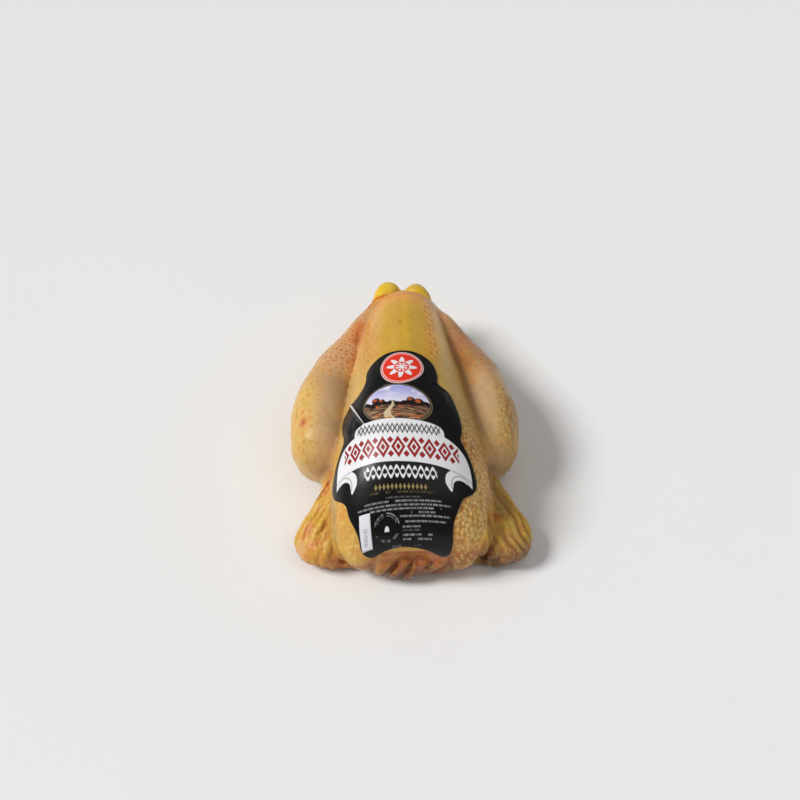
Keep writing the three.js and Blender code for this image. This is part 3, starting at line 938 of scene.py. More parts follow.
    def paint_legs(self):
        """Legs: pink above, yellow outside and in clouds, tan and green below, with bare yellow ends."""
        x, y, z = self.points.T
        legs, cloud, mist = self.legs, self.cloud, self.mist
        upper = legs * self.upper
        self.paint("blush", legs * 0.95)
        self.paint("yellow", legs * self.outer * 0.7)
        self.paint("pink", upper * (0.8 + 0.25 * cloud) * between(y, 150, 130))
        self.paint("yellow", upper * self.outer * between(cloud, -0.2, 0.7) * 0.5)
        self.paint("tan", legs * between(z, 44, 20) * 0.7)
        self.paint("moss", legs * between(z, 40, 18) * between(cloud, 0, 0.8) * 0.4)
        self.paint("yellow", legs * between(cloud, 0.15, 0.8) * 0.35)
        self.paint("amber", legs * between(y, 132, 150) * 0.6)
        self.paint("lemon", self.bare * 0.95)
        self.paint("gold", self.bare * between(z, 66, 50) * 0.7)
        self.paint("honey", self.bare * (x > 0) * 0.3)
        self.paint("cream", self.bare * between(mist, 0.2, 0.8) * 0.3)
        self.paint("raw", self.cut_edge * between(self.grit + mist, -0.3, 0.5) * 0.75)

    def paint_wings(self):
        """Wings: butter yellow with amber clouds, honey and rust in the grooves between the folds, partly the
        skin's own orange lines and partly painted shade, and redder below.
        """
        z = self.points[:, 2]
        wings, cloud = self.wings, self.cloud
        self.paint("butter", wings * 0.95)
        self.paint("amber", wings * between(self.mist, 0.1, 0.8) * 0.4)
        # The grooves: the skin's own orange lines, darkened as painted shade
        self.paint("honey", self.groove * 0.95)
        self.paint("rust", between(self.groove, 0.6, 1) * between(cloud, -0.3, 0.4) * 0.5)
        self.paint("flush", wings * between(z, 30, 12) * between(cloud, -0.4, 0.5) * 0.45)
        self.paint("rust", wings * between(z, 16, 5) * 0.45)

    def paint_neck(self):
        """Neck and the trunk's edge above it: reddish brown with raw red and pink clouds, and raw red as
        painted shade in the grooves between the neck's ridges. Creases and hollows everywhere get painted
        shade: rust, then raw red, and dark blood red as painted shadow in the neck's deepest grooves."""
        x, y, z = self.points.T
        trunk, necks, mist = self.trunk, self.necks, self.mist
        self.paint("neck", necks * 0.95)
        self.paint("raw", necks * between(mist + self.cloud, 0.2, 1.2) * 0.6)
        self.paint("pink", necks * between(-mist, 0.2, 0.8) * 0.6)
        # Painted shade: raw red in the grooves between the neck's ridges
        self.paint("raw", self.ridge * 0.6)
        low_front = trunk * between(y, -108, -114) * between(z, 46, 34) * between(np.abs(x), 36, 20)
        self.paint("neck", low_front * 0.9)
        self.paint("raw", low_front * between(mist, -0.1, 0.7) * 0.55)
        self.paint("rust", trunk * between(z, 28, 8) * 0.4)
        # Painted shade in the creases: rust, and raw red in the deepest
        self.paint("rust", self.crease * (0.55 - 0.4 * trunk * between(y, -20, 20)))
        self.paint("raw", between(self.crease, 0.5, 1) * 0.25)
        # Painted shade in the hollows of the folds: rust, then raw red and dark blood red deep in the neck's
        # grooves
        self.paint("rust", self.trench * 0.7)
        deep = between(self.trench, 0.4, 0.95) * between(y, -96, -106) * between(np.abs(x), 40, 26)
        self.paint("raw", deep * 0.8)
        self.paint("blood", between(deep, 0.5, 1) * between(z, 34, 20) * 0.6)

    def paint_marks(self):
        """Marks, painted light and painted shade: the colour is mixed or multiplied by a bell of the distance
        from each line, then darkened towards the floor as painted shade and varied by the noise."""
        torn = np.clip(0.8 + 0.45 * self.mist + 0.25 * self.grit, 0, 1.25)
        for _, start, end, width, name, strength in MARKS:
            self.paint(name, stroke(self.points, start, end, width, self.normal) * strength * torn)
        tint = self.tint
        # Painted light and shade: the colour multiplied by each place's factor
        for _, start, end, width, factor in PAINTED_LIGHT_AND_SHADE:
            tint = tint * (1 + (factor - 1) * stroke(self.points, start, end, width, self.normal))[:, None]
        # Painted shade: darker towards the floor, under the bird
        tint = tint * (1 - 0.4 * between(self.points[:, 2], 20, 2))[:, None]
        tint = tint * (1 + 0.07 * self.cloud + 0.06 * self.mist + 0.05 * self.grit)[:, None]
        self.tint = np.clip(tint * [1, 1, 0.84], 0, 1)

    def find_masks(self):
        """Masks: how much dot, redness, wetness, mottling and streaking there is, and the dots' size."""
        x, y, z = self.points.T
        trunk, legs, wings = self.trunk, self.legs, self.wings
        lobes = (self.left_lobe, self.right_lobe)
        bands = np.clip(self.bands, 0, 1) * trunk
        high_leg = between(z, 36, 62)
        self.dot_size = 0.16 + 0.04 * trunk + 0.17 * bands + legs * self.upper * (0.08 * high_leg - 0.02)
        flank = (between(-self.reach, 46, 58) * 0.6 + between(self.reach, 36, 48) * 0.5) * between(y, 0, 40)
        dots = trunk * (1 - self.front) * (1.3 * self.bands + flank)
        above_or_out = np.maximum(0.4 * self.outer, self.upper * high_leg)
        dots = dots + legs * (1 - self.bare) * between(y, 152, 130) * (0.3 + 0.7 * above_or_out)
        inner_leg = legs * between(np.abs(x), 74, 62) * between(y, 46, 20)
        dots = dots * (1 - 0.9 * inner_leg) + 0.15 * lobes[1] + 0.4 * lobes[0] + 0.2 * wings
        clean = self.seam * self.whole
        self.dots = np.clip(dots, 0, 1) * clean * (1 - self.covered)
        self.red_dots = np.clip(legs * self.upper * (0.25 + 0.75 * high_leg) + 0.3 * wings, 0, 1)
        self.wet = np.clip(0.45 + 0.3 * self.cloud + 0.25 * self.mist + 0.4 * self.necks, 0, 1)
        self.streaks = legs * between(y, 44, 74) * between(y, 150, 130) * between(z, 50, 64) * clean
        mottle = 0.22 * trunk + 0.3 * legs + 0.4 * wings + 0.7 * (lobes[0] + lobes[1]) + 0.8 * self.necks
        mottle = mottle + 0.3 * trunk * between(y, 112, 140)
        self.mottle = np.clip(mottle, 0, 1) * (1 - 0.6 * self.bare)

    def piece(self):
        """The skin as an object, with its colour and masks stored on its points."""
        mesh = new_mesh("chicken_skin", self.points, self.quads)
        opaque = np.ones((len(self.points), 1))
        colour = mesh.color_attributes.new("tint", "FLOAT_COLOR", "POINT")
        colour.data.foreach_set("color", np.hstack([self.tint, opaque]).ravel())
        store_vectors(mesh, "tract", np.column_stack([self.tract, self.streaks]))
        store_vectors(mesh, "marks", np.column_stack([self.dots, self.red_dots, self.goose]))
        store_vectors(mesh, "state", np.column_stack([self.wet, self.mottle, self.dot_size]))
        return add_piece("chicken_skin", mesh)


# Lines on the label, as reach and length from its top edge: the sharp crease, the loose flap beyond it
# and the pucker at the right edge
CREASE_FROM = (-59.0, 40.5)
CREASE_TO = (-38.6, 77.0)
FLAP_LINE = ((-66, 60, 0), (-62, 76, 0))
PUCKER_LINE = ((30, 52, 0), (27, 68, 0))
FILM_LIFT = 0.62
PAPER_LIFT = 0.06


def film_height(reach, along):
    """How far the label's underside stands over the trunk's skin: slow ripples, finer wrinkles, a
    raised lip along the sharp crease, and a loose flap and a pucker, each a bell times noise."""
    flat = np.column_stack([reach.ravel(), along.ravel(), np.zeros(reach.size)])
    ripple = 0.22 * noise(flat, 24, 31) + 0.1 * noise(flat, 9, 32)
    lip = 1.1 * stroke(flat, (*CREASE_FROM, 0.0), (*CREASE_TO, 0.0), 1.5)
    ripple = ripple + lip + stroke(flat, *FLAP_LINE, 11) * (0.5 + 0.7 * noise(flat, 8, 33))
    ripple = ripple + stroke(flat, *PUCKER_LINE, 3.4) * (0.6 + 0.4 * noise(flat, 5, 34))
    return FILM_LIFT + ripple.reshape(reach.shape)


def sheet_grid(outline, columns, rows, foot):
    """Y and reach for a grid between the two edges of an outline. Where there is a foot, the rows beyond
    its start close up so that the last one follows the foot's curve."""
    line = spline_rows(outline, np.linspace(0, 1, rows + 1))
    share = np.linspace(0, 1, columns + 1)
    reach = line[:, 1:2] + (line[:, 2:3] - line[:, 1:2]) * share
    y = np.repeat(line[:, :1], columns + 1, 1)
    if foot:
        place = np.interp(reach, [row[0] for row in foot], np.linspace(0, 1, len(foot)))
        lowest = spline_rows(foot, place)[..., 1]
        closed_up = FOOT_FROM + (y - FOOT_FROM) * (lowest - FOOT_FROM) / (outline[-1][0] - FOOT_FROM)
        y = np.where(y < FOOT_FROM, closed_up, y)
    return y, reach


def thin_sheet(name, trunk_map, outline, columns, rows, foot, under, thick):
    """A closed thin sheet over the breast: two layers of one grid, lifted along the trunk's normal by a
    height that varies over it, and joined by a rim."""
    y, reach = sheet_grid(outline, columns, rows, foot)
    t = trunk_map.t_at(y)
    turn = trunk_map.turn_at(t, reach)
    along = trunk_map.along(t)
    base = trunk_point(t, np.pi / 2 - turn)
    normal = trunk_normal(t, np.pi / 2 - turn)
    height = under(reach, along)
    layers = [(base + normal * (height + lift)[..., None]).reshape(-1, 3) for lift in (0, thick)]
    wide = columns + 1
    count = wide * (rows + 1)
    i, j = np.meshgrid(np.arange(rows), np.arange(columns), indexing="ij")
    a = (i * wide + j).ravel()
    b = a + wide
    low = np.column_stack([a, a + 1, b + 1, b])
    high = np.column_stack([a, b, b + 1, a + 1]) + count
    rim = np.concatenate([
        np.arange(columns),
        np.arange(rows) * wide + columns,
        rows * wide + np.arange(columns, 0, -1),
        np.arange(rows, 0, -1) * wide,
    ])
    after = np.roll(rim, -1)
    wall = np.column_stack([rim, rim + count, after + count, after])
    mesh = new_mesh(name, np.vstack(layers), np.vstack([low, high, wall]))
    printed = np.stack([reach, along, np.zeros_like(reach)], -1).reshape(-1, 3)
    store_vectors(mesh, "print", np.vstack([printed, printed]))
    return add_piece(name, mesh)


def put(tree, socket, value):
    """Links a node's output into a socket, or sets the socket's own value."""
    if isinstance(value, Field):
        value = value.socket
    if isinstance(value, bpy.types.NodeSocket):
        tree.links.new(value, socket)
    elif hasattr(value, "__len__"):
        socket.default_value = tuple(value) if len(value) == len(socket.default_value) else (*value, 1)
    else:
        socket.default_value = value


def add_node(tree, kind, inputs=(), **settings):
    """Adds a node with its settings and inputs."""
    node = tree.nodes.new(kind)
    for name, value in settings.items():
        setattr(node, name, value)
    for name, value in dict(inputs).items():
        put(tree, node.inputs[name], value)
    return node


class Field:
    """A number that varies over a surface. Arithmetic on it adds Math nodes to its tree."""

    def __init__(self, tree, socket):
        self.tree = tree
        self.socket = socket

    def math(self, operation, *others, clamp=False):
        """The field that a Math node makes of this one and others."""
        inputs = dict(enumerate((self, *others)))
        node = add_node(self.tree, "ShaderNodeMath", inputs, operation=operation, use_clamp=clamp)
        return Field(self.tree, node.outputs[0])

    def __add__(self, other):
        return self.math("ADD", other)

    def __sub__(self, other):
        return self.math("SUBTRACT", other)

    def __mul__(self, other):
        return self.math("MULTIPLY", other)

    def __truediv__(self, other):
        return self.math("DIVIDE", other)

    def absolute(self):
        return self.math("ABSOLUTE")

    def floor(self):
        return self.math("FLOOR")

    def fraction(self):
        return self.math("FRACT")

    def flipped(self):
        """One less the number."""
        return self * -1 + 1

    def rising(self, low, high):
        """0 at low and 1 at high, with a smooth step between."""
        node = add_node(
            self.tree,
            "ShaderNodeMapRange",
            {"Value": self, "From Min": low, "From Max": high},
            interpolation_type="SMOOTHSTEP",
        )
        return Field(self.tree, node.outputs["Result"])

    def below(self, edge, soft=0.3):
        """1 where the number is under an edge, which may be a field, with a soft step."""
        return ((self - edge) * (-0.5 / soft) + 0.5).math("MULTIPLY", 1.0, clamp=True)

    def above(self, edge, soft=0.3):
        """1 where the number is over an edge."""
        return ((self - edge) * (0.5 / soft) + 0.5).math("MULTIPLY", 1.0, clamp=True)

    def within(self, low, high, soft=0.3):
        """1 between two edges."""
        return self.below(high, soft) * self.above(low, soft)

    def curve(self, points):
        """A smooth line through (number, value) points, held level beyond its ends."""
        xs = [p[0] for p in points]
        ys = [p[1] for p in points]
        low, high = min(ys), max(ys)
        node = add_node(self.tree, "ShaderNodeFloatCurve")
        line = node.mapping.curves[0]
        for index, (x, y) in enumerate(points):
            where = ((x - xs[0]) / (xs[-1] - xs[0]), (y - low) / (high - low))
            if index < 2:
                line.points[index].location = where
            else:
                line.points.new(*where)
        node.mapping.update()
        put(self.tree, node.inputs["Value"], (self - xs[0]) / (xs[-1] - xs[0]))
        return Field(self.tree, node.outputs[0]) * (high - low) + low


def length2(a, b):
    """Length of the vector with two given fields as its sides."""
    return (a * a + b * b).math("SQRT")


def mixed(tree, amount, first, second):
    """Colour between two colours."""
    node = add_node(tree, "ShaderNodeMix", data_type="RGBA")
    put(tree, node.inputs[0], amount)
    put(tree, node.inputs[6], first)
    put(tree, node.inputs[7], second)
    return node.outputs[2]


def attribute_fields(tree, name):
    """The three numbers of a vector that is stored on the points."""
    source = add_node(tree, "ShaderNodeAttribute", attribute_name=name)
    split = add_node(tree, "ShaderNodeSeparateXYZ", {"Vector": source.outputs["Vector"]})
    return [Field(tree, split.outputs[k]) for k in range(3)]


def random_at(value, seed):
    """A number from 0 to 1 that jumps about with whole numbers: the fraction of a large sine."""
    return ((value * CELL_SEEDS[0] + seed).math("SINE") * CELL_SEEDS[2]).fraction()


def noise_field(tree, vector, scale, detail):
    """Blender's own noise at a vector, from 0 to 1."""
    inputs = {"Vector": vector, "Scale": scale, "Detail": detail}
    return Field(tree, add_node(tree, "ShaderNodeTexNoise", inputs).outputs[0])


def cell_distance(tree, vector, scale, randomness):
    """Distance to the nearest of many points that are scattered over a vector."""
    inputs = {"Vector": vector, "Scale": scale, "Randomness": randomness}
    return Field(tree, add_node(tree, "ShaderNodeTexVoronoi", inputs).outputs["Distance"])


def bumped(tree, height, strength, distance):
    """Normal that is tilted by the slope of a height, which is given as a share of a distance in metres."""
    inputs = {"Height": height, "Strength": strength, "Distance": distance}
    return add_node(tree, "ShaderNodeBump", inputs).outputs[0]


def set_inputs(tree, shader, inputs):
    """Links or sets the shader's own inputs by name."""
    for name, value in inputs.items():
        put(tree, shader.inputs[name], value)


def mottle_group():
    """Shared group: soft blotches from 0 to 1 over the object, broken up by a finer grain."""
    found = bpy.data.node_groups.get("Soft mottle")
    if found:
        return found
    tree = bpy.data.node_groups.new("Soft mottle", "ShaderNodeTree")
    for name, value in (("Blotches per metre", 60.0), ("Grain per metre", 900.0), ("Grain share", 0.3)):
        socket = tree.interface.new_socket(name, in_out="INPUT", socket_type="NodeSocketFloat")
        socket.default_value = value
    tree.interface.new_socket("Mask", in_out="OUTPUT", socket_type="NodeSocketFloat")
    given = tree.nodes.new("NodeGroupInput")
    given_to = tree.nodes.new("NodeGroupOutput")
    place = add_node(tree, "ShaderNodeTexCoord").outputs["Object"]
    blotches = noise_field(tree, place, given.outputs["Blotches per metre"], 3.0)
    grain = noise_field(tree, place, given.outputs["Grain per metre"], 3.0)
    share = Field(tree, given.outputs["Grain share"])
    put(tree, given_to.inputs["Mask"], blotches * share.flipped() + grain * share)
    return tree


def mottled(tree, blotches, grain, share):
    """Places the shared mottle with its own scales."""
    inputs = {"Blotches per metre": blotches, "Grain per metre": grain, "Grain share": share}
    node = add_node(tree, "ShaderNodeGroup", inputs, node_tree=mottle_group())
    return Field(tree, node.outputs["Mask"])


def new_material(name):
    """A material with an empty Principled shader. Returns it, its tree and the shader."""
    material = bpy.data.materials.new(name)
    material.use_nodes = True
    tree = material.node_tree
    shader = next(node for node in tree.nodes if node.type == "BSDF_PRINCIPLED")
    return material, tree, shader


# Goosebumps for each metre along X, Y and Z
GOOSE_SCALE = (300.0, 270.0, 215.0)
PAPER_SHADE = (222, 222, 232)
PAPER_PRINT = (150, 152, 160)
FLOOR_SHADE = (0.92, 0.92, 0.915)


def skin_material(settings):
    """Moist raw skin: the painted colour with blotches and grain, goosebumps over irregular cells with cream
    tops as painted highlight and brown feet as painted shade, dots and halos in the follicles' cells, short
    red dashes along the legs, and a thin wet coat."""
    material, tree, shader = new_material("chicken_skin")
    tint = add_node(tree, "ShaderNodeAttribute", attribute_name="tint").outputs["Color"]
    across, along, streaks = attribute_fields(tree, "tract")
    dots, red, goose = attribute_fields(tree, "marks")
    wet, mottle, dot_size = attribute_fields(tree, "state")
    # The follicle's cell, as scatter works it out, its swelling and its dot
    row = along.floor()
    staggered = across + row.math("FLOORED_MODULO", 2.0) * 0.5
    column = staggered.floor()
    one = (column * CELL_SEEDS[0] + row * CELL_SEEDS[1]).math("SINE")
    two = (column * CELL_SEEDS[2] + row * CELL_SEEDS[3]).math("SINE")
    u = staggered - column - 0.5 - one * CELL_SHIFT
    v = along - row - 0.5 - two * CELL_SHIFT
    dome = length2(u, v).rising(0.54, 0.05)
    size = one * two * 0.05 + dot_size
    dot = (length2(u, v * (dot_size * 3.2 + 0.5)) / size).rising(1.5, 0.45)
    keep = (one + two * 0.6).rising(-1.1, -0.7)
    dot_share = dot * dots * keep
    # Mottling of four sizes
    grain = mottled(tree, 260.0, 1500.0, 0.45)
    blotch = mottled(tree, 55.0, 500.0, 0.35)
    patch = mottled(tree, 150.0, 700.0, 0.35)
    fleck = mottled(tree, 380.0, 1300.0, 0.4)
    hue = inks(HUES)
    colour = mixed(tree, blotch.rising(0.5, 0.72) * 0.28, tint, hue["amber"])
    colour = mixed(tree, grain.rising(0.52, 0.8) * 0.28, colour, hue["cream"])
    colour = mixed(tree, patch.rising(0.48, 0.62) * mottle * 0.45, colour, hue["orange"])
    colour = mixed(tree, patch.rising(0.48, 0.36) * mottle * 0.3, colour, hue["yellow"])
    colour = mixed(tree, fleck.rising(0.56, 0.66) * mottle * 0.45, colour, hue["rust"])
    # Goosebumps: 1 at the middle of a cell, falling towards its sides
    place = add_node(tree, "ShaderNodeTexCoord").outputs["Object"]
    stretch = add_node(tree, "ShaderNodeVectorMath", {0: place, 1: GOOSE_SCALE}, operation="MULTIPLY")
    cell = cell_distance(tree, stretch.outputs[0], 1.0, 0.8)
    bump_top = cell.rising(0.6, 0.2)
    tops = patch.rising(0.3, 0.55) * 0.3 + 0.5
    # Goosebumps: painted highlight on their tops and painted shade between them
    colour = mixed(tree, goose * bump_top * tops, colour, hue["painted highlight on bumps"])
    colour = mixed(tree, goose * cell.rising(0.34, 0.74) * 0.66, colour, hue["painted shade between bumps"])
    halo = length2(u, v).rising(0.48, 0.12) * dots * keep
    colour = mixed(tree, halo * 0.45, colour, hue["amber"])
    dot_colour = mixed(tree, red, hue["dot"], hue["red dot"])
    colour = mixed(tree, dot_share * (one * 0.12 + 0.84), colour, dot_colour)
    dashes_at = add_node(tree, "ShaderNodeCombineXYZ", {"X": across * 1.9, "Y": along * 4.6, "Z": 4.0})
    dashes = noise_field(tree, dashes_at.outputs[0], 1.0, 2.0)
    colour = mixed(tree, dashes.rising(0.5, 0.6) * streaks * 0.38, colour, hue["dash"])
    rough = grain * 0.22 + 0.34 - wet * 0.08
    coat = wet * 0.35
    pores = cell_distance(tree, place, 900.0, 1.0)
    rise = bump_top * goose * 1.5 + dome * dots * 0.35 - dot_share * 0.25 + pores * 0.12 + grain * 0.3
    rise = rise + (patch * 1.1 + fleck * 0.5) * mottle
    set_inputs(tree, shader, {
        "Base Color": colour,
        "Roughness": rough,
        "Coat Weight": coat,
        "Coat Roughness": 0.16,
        "Coat IOR": 1.33,
        "Subsurface Weight": settings.translucency,
        "Subsurface Radius": (1.0, 0.45, 0.18),
        "Subsurface Scale": 0.003,
        "IOR": 1.4,
        "Normal": bumped(tree, rise, 0.8, 0.0008),
    })
    return material


# Rows of plain dashes on the label: place along it, height, from and to across it, colour, and how
# dense they are
PRINT_ROWS = [
    (43.6, 1.3, -13, 4, "grey", 0.5),
    (139.5, 2.0, -25, 26, "bronze", 0.45),
    (143.6, 1.7, -12, 16, "grey", 0.5),
    (146.6, 1.9, -30, 32, "silver", 0.6),
    (149.8, 1.9, -36, 40, "silver", 0.6),
    (152.8, 1.9, -30, 32, "silver", 0.6),
    (156.0, 1.9, 8, 27, "silver", 0.6),
    (159.0, 2.0, -1, 39, "silver", 0.6),
    (163.4, 2.0, 3, 36, "silver", 0.6),
    (167.6, 1.9, 1, 15, "silver", 0.6),
    (170.6, 1.9, 1, 15, "grey", 0.5),
    (174.6, 2.1, 1, 25, "silver", 0.65),
    (178.4, 2.1, 1, 24, "silver", 0.65),
    (184.2, 2.4, -8, 15, "grey", 0.55),
]
PRINT_HUES = {
    "white": (236, 236, 240),
    "grey": (104, 102, 104),
    "silver": (158, 158, 162),
    "gold": (150, 132, 84),
    "bronze": (92, 82, 54),
    "red": (232, 56, 32),
    "dark red": (152, 30, 28),
    "sky": (168, 170, 226),
    "cloud": (226, 224, 240),
    "wood": (26, 18, 20),
    "field": (128, 92, 70),
    "stubble": (196, 158, 118),
    "leaf": (206, 104, 46),
    "path": (226, 204, 168),
}
# The print's middle line and how far its rows slope, by length from the label's top edge
PRINT_AXIS = [(0, -4.6), (23, -5.6), (45, -9.5), (62, -11.0), (100, -10.2), (125, -9.2), (190, -8.6)]
PRINT_SLOPE = [(0, 0.15), (60, 0.15), (88, 0.108), (112, 0.085), (135, 0.055), (152, 0.0), (190, 0.0)]
# Edges of the ribbon: its upper tier, its main band, and the curled tails at its two ends
TIER_TOP = [(0, 78.6), (15, 78.9), (25, 79.8), (33, 81.4), (36.5, 83.6), (38, 89.0)]
BAND_TOP = [(0, 89.4), (37, 89.8), (46, 93.0), (53, 97.4), (58, 104.4), (60.4, 113.8), (61, 125.7)]
BAND_FOOT = [(0, 115.2), (20, 115.5), (32, 116.3), (42, 117.4), (61, 121.0)]
TAIL_FOOT = [(34, 136.0), (41.0, 135.8), (43.0, 128.0), (46, 124.8), (50.3, 123.6), (55, 124.4), (61, 126.4)]
TAIL_SIDE = [(114, 44.0), (118, 40.6), (121, 37.6), (124, 36.4), (128, 36.2), (132, 38.0), (136, 41.2)]
TIER_HALF = 38.0
BAND_HALF = 61.0
# Ovals as half width, half height and middle: the red disc and the landscape
DISC = (18.6, 19.6, 22.6)
LANDSCAPE = (28.6, 19.8, 63.4)
# Round trees: place across and along the label, and radius
TREES = [(-17.5, 60.0, 3.6), (-12.0, 61.5, 2.6), (12.0, 59.5, 3.4), (18.5, 61.0, 4.2)]
# Lines that the lozenges follow, by distance from the middle, and how tall the red ones are
DARK_ROW = [(0, 87.4), (20, 86.6), (38, 85.2)]
RED_ROW = [(0, 103.2), (25, 103.0), (48, 102.4)]
RED_HEIGHT = [(0, 9.2), (30, 8.8), (48, 7.6)]
DARK_PITCH = 3.9
RED_PITCH = 12.4
WAVE_MIDDLE = 123.4
BEAD_MIDDLE = 135.2
# Ring: its middle across and along the label, and its two half sizes
RING = (-11.7, 167.8, 10.4, 12.4)


class LabelPrint:
    """The label's print, laid on in order. All places are in mm: u and v are the reach and the length
    from the top edge, and a and b are the same measured from the print's own middle line and rows."""

    def __init__(self, tree, film):
        self.tree = tree
        self.hue = inks(PRINT_HUES)
        self.hue["film"] = film
        self.u, self.v, _ = attribute_fields(tree, "print")
        self.a = self.u - self.v.curve(PRINT_AXIS)
        self.b = self.v - self.a * self.v.curve(PRINT_SLOPE)
        self.side = self.a.absolute()
        self.colour = film
        self.draw_rosette()
        self.draw_landscape()
        self.draw_ribbon()
        self.draw_lozenges()
        self.draw_wave_and_beads()
        self.draw_dashes()
        self.draw_ring()
        self.draw_crease()

    def lay(self, name, mask):
        """Mixes the print with a named colour, by a mask from 0 to 1."""
        self.colour = mixed(self.tree, mask, self.colour, self.hue[name])

    def oval(self, width, height, middle):
        """Distance outside an oval as a share of its size, less 1."""
        return length2(self.a / width, (self.b - middle) / height) - 1.0

    def waves(self, x_scale, y_scale, seed):
        """Noise stretched by its two scales."""
        inputs = {"X": self.a * x_scale, "Y": self.b * y_scale, "Z": seed}
        vector = add_node(self.tree, "ShaderNodeCombineXYZ", inputs)
        return noise_field(self.tree, vector.outputs[0], 1.0, 2.0)

    def lozenge(self, middle, pitch, wide, tall):
        """A row of lozenges: the sum of the two distances from the nearest one's middle, each as a
        share of its half size."""
        step = self.a / pitch
        place = step - (step + 0.5).floor()
        return place.absolute() * (pitch / wide) + ((self.b - middle) / tall).absolute()

    def draw_rosette(self):
        """A red disc with a white line inside its edge and a rosette of eight petals."""
        a, lay = self.a, self.lay
        middle = DISC[2]
        disc = self.oval(*DISC)
        lay("white", disc.below(0.0, 0.015))
        lay("red", disc.below(-0.03, 0.015))
        lay("white", disc.within(-0.115, -0.085, 0.012))
        angle = add_node(self.tree, "ShaderNodeMath", {0: self.b - middle, 1: a}, operation="ARCTAN2")
        petal_wave = (Field(self.tree, angle.outputs[0]) * 8.0).math("COSINE")
        petals = length2(a, self.b - middle) - petal_wave * 3.2
        lay("white", petals.within(3.4, 9.8))
        centre = length2(a, self.b - middle)
        lay("red", centre.within(5.0, 6.4, 0.25))
        lay("white", centre.below(2.2, 0.25))

    def draw_landscape(self):
        """An oval with a gold rim: sky and cloud, a dark tree line, fields, a winding path and trees."""
        tree, a, b, lay, waves = self.tree, self.a, self.b, self.lay, self.waves
        picture = self.oval(*LANDSCAPE)
        lay("gold", picture.below(0.035, 0.012))
        lay("film", picture.below(0.012, 0.012))
        inside = picture.below(-0.03, 0.012)
        sky = mixed(tree, (b - 46.0).rising(0.0, 18.0), self.hue["sky"], self.hue["cloud"])
        sky = mixed(tree, waves(0.09, 0.2, 3.0).rising(0.5, 0.68), sky, self.hue["cloud"])
        self.colour = mixed(tree, inside, self.colour, sky)
        hills = b - waves(0.11, 0.02, 5.0) * 9.0
        lay("wood", inside * hills.above(56.5, 0.4))
        lay("field", inside * hills.above(60.5, 0.6) * waves(0.12, 0.7, 7.0).rising(0.42, 0.56))
        lay("stubble", inside * hills.above(63.0, 1.0) * waves(0.07, 0.9, 9.0).rising(0.5, 0.62) * 0.8)
        bend = (b * 0.32).math("SINE") * 2.4
        path = (a + 5.0 - bend).absolute().below((b - 59.0) * 0.2, 0.5)
        lay("path", inside * b.above(60.5, 0.8) * path * 0.8)
        lay("leaf", inside * b.above(66.0, 1.0) * waves(0.16, 0.3, 11.0).rising(0.58, 0.64))
        for middle, height, size in TREES:
            crown = length2(a - middle, (b - height) * 1.15)
            lay("wood", inside * crown.below(size, 0.4))
            lit = length2(a - (middle - 0.8), (b - height + 0.8) * 1.15)
            lay("leaf", inside * lit.below(size * 0.55, 0.7) * 0.7)

    def draw_ribbon(self):
        """A white ribbon: an upper tier, the main band and two curled tails with a shade and a curl."""
        b, side, lay = self.b, self.side, self.lay
        tier = b.above(side.curve(TIER_TOP)) * side.below(TIER_HALF) * b.below(100.0)
        band = b.above(side.curve(BAND_TOP)) * b.below(side.curve(BAND_FOOT)) * side.below(BAND_HALF)
        tail = side.above(b.curve(TAIL_SIDE)) * b.below(side.curve(TAIL_FOOT)) * side.below(BAND_HALF)
        tail = tail * b.above(115.5) * b.above(side.curve(BAND_TOP))
        lay("white", tier.math("MAXIMUM", band).math("MAXIMUM", tail))
        shade = (b - side.curve(BAND_FOOT)).absolute().below(0.35, 0.3) * side.above(42.0) * tail
        lay("grey", shade * 0.8)
        curl = length2(side - 50.0, b - 129.0)
        lay("gold", tail * curl.within(8.4, 9.2, 0.2) * 0.8)
        self.tier = tier
        self.band = band

    def draw_lozenges(self):
        """A row of dark lozenges and ticks on the upper tier, and a row of larger red ones on the band
        with a pair of small ones between neighbours."""
        a, b, side = self.a, self.b, self.side
        dark_row = side.curve(DARK_ROW)
        small = self.lozenge(dark_row, DARK_PITCH, 1.95, 5.0)
        ticks = ((a / DARK_PITCH).fraction() - 0.5).absolute().below(0.05, 0.04)
        ticks = ticks * (b - dark_row).absolute().below(3.2, 0.4)
        dark = small.within(0.56, 1.0, 0.1).math("MAXIMUM", ticks)
        self.lay("wood", dark * side.below(34.5) * self.tier)
        red_row = side.curve(RED_ROW)
        large = self.lozenge(red_row, RED_PITCH, 5.7, side.curve(RED_HEIGHT))
        stripe = large.within(0.56, 1.0, 0.04)
        heart = large.below(0.34, 0.04)
        offset = a / RED_PITCH
        beside = offset - offset.floor() - 0.5
        above_below = ((b - red_row).absolute() - 5.8).absolute() / 3.0
        above_below = above_below + (beside * RED_PITCH).absolute() / 2.6
        red = stripe.math("MAXIMUM", heart).math("MAXIMUM", above_below.below(1.0, 0.12))
        self.lay("dark red", red * (side.below(49.5) * self.band))

    def draw_wave_and_beads(self):
        """A white sine wave with a dot in each arch, and a row of gold beads, on the black film."""
        b = self.b - WAVE_MIDDLE
        phase = self.a * 0.66
        line = (b - phase.math("SINE") * 4.0).absolute()
        dots = length2(phase.math("COSINE") * 1.6, b - phase.math("SINE") * -3.4)
        wave = line.below(1.4, 0.5).math("MAXIMUM", dots.below(1.5, 0.3))
        self.lay("white", wave * self.side.below(29.5))
        bead = self.lozenge(BEAD_MIDDLE, 3.3, 1.25, 2.6)
        self.lay("gold", bead.below(1.0, 0.15) * self.side.below(22.0))

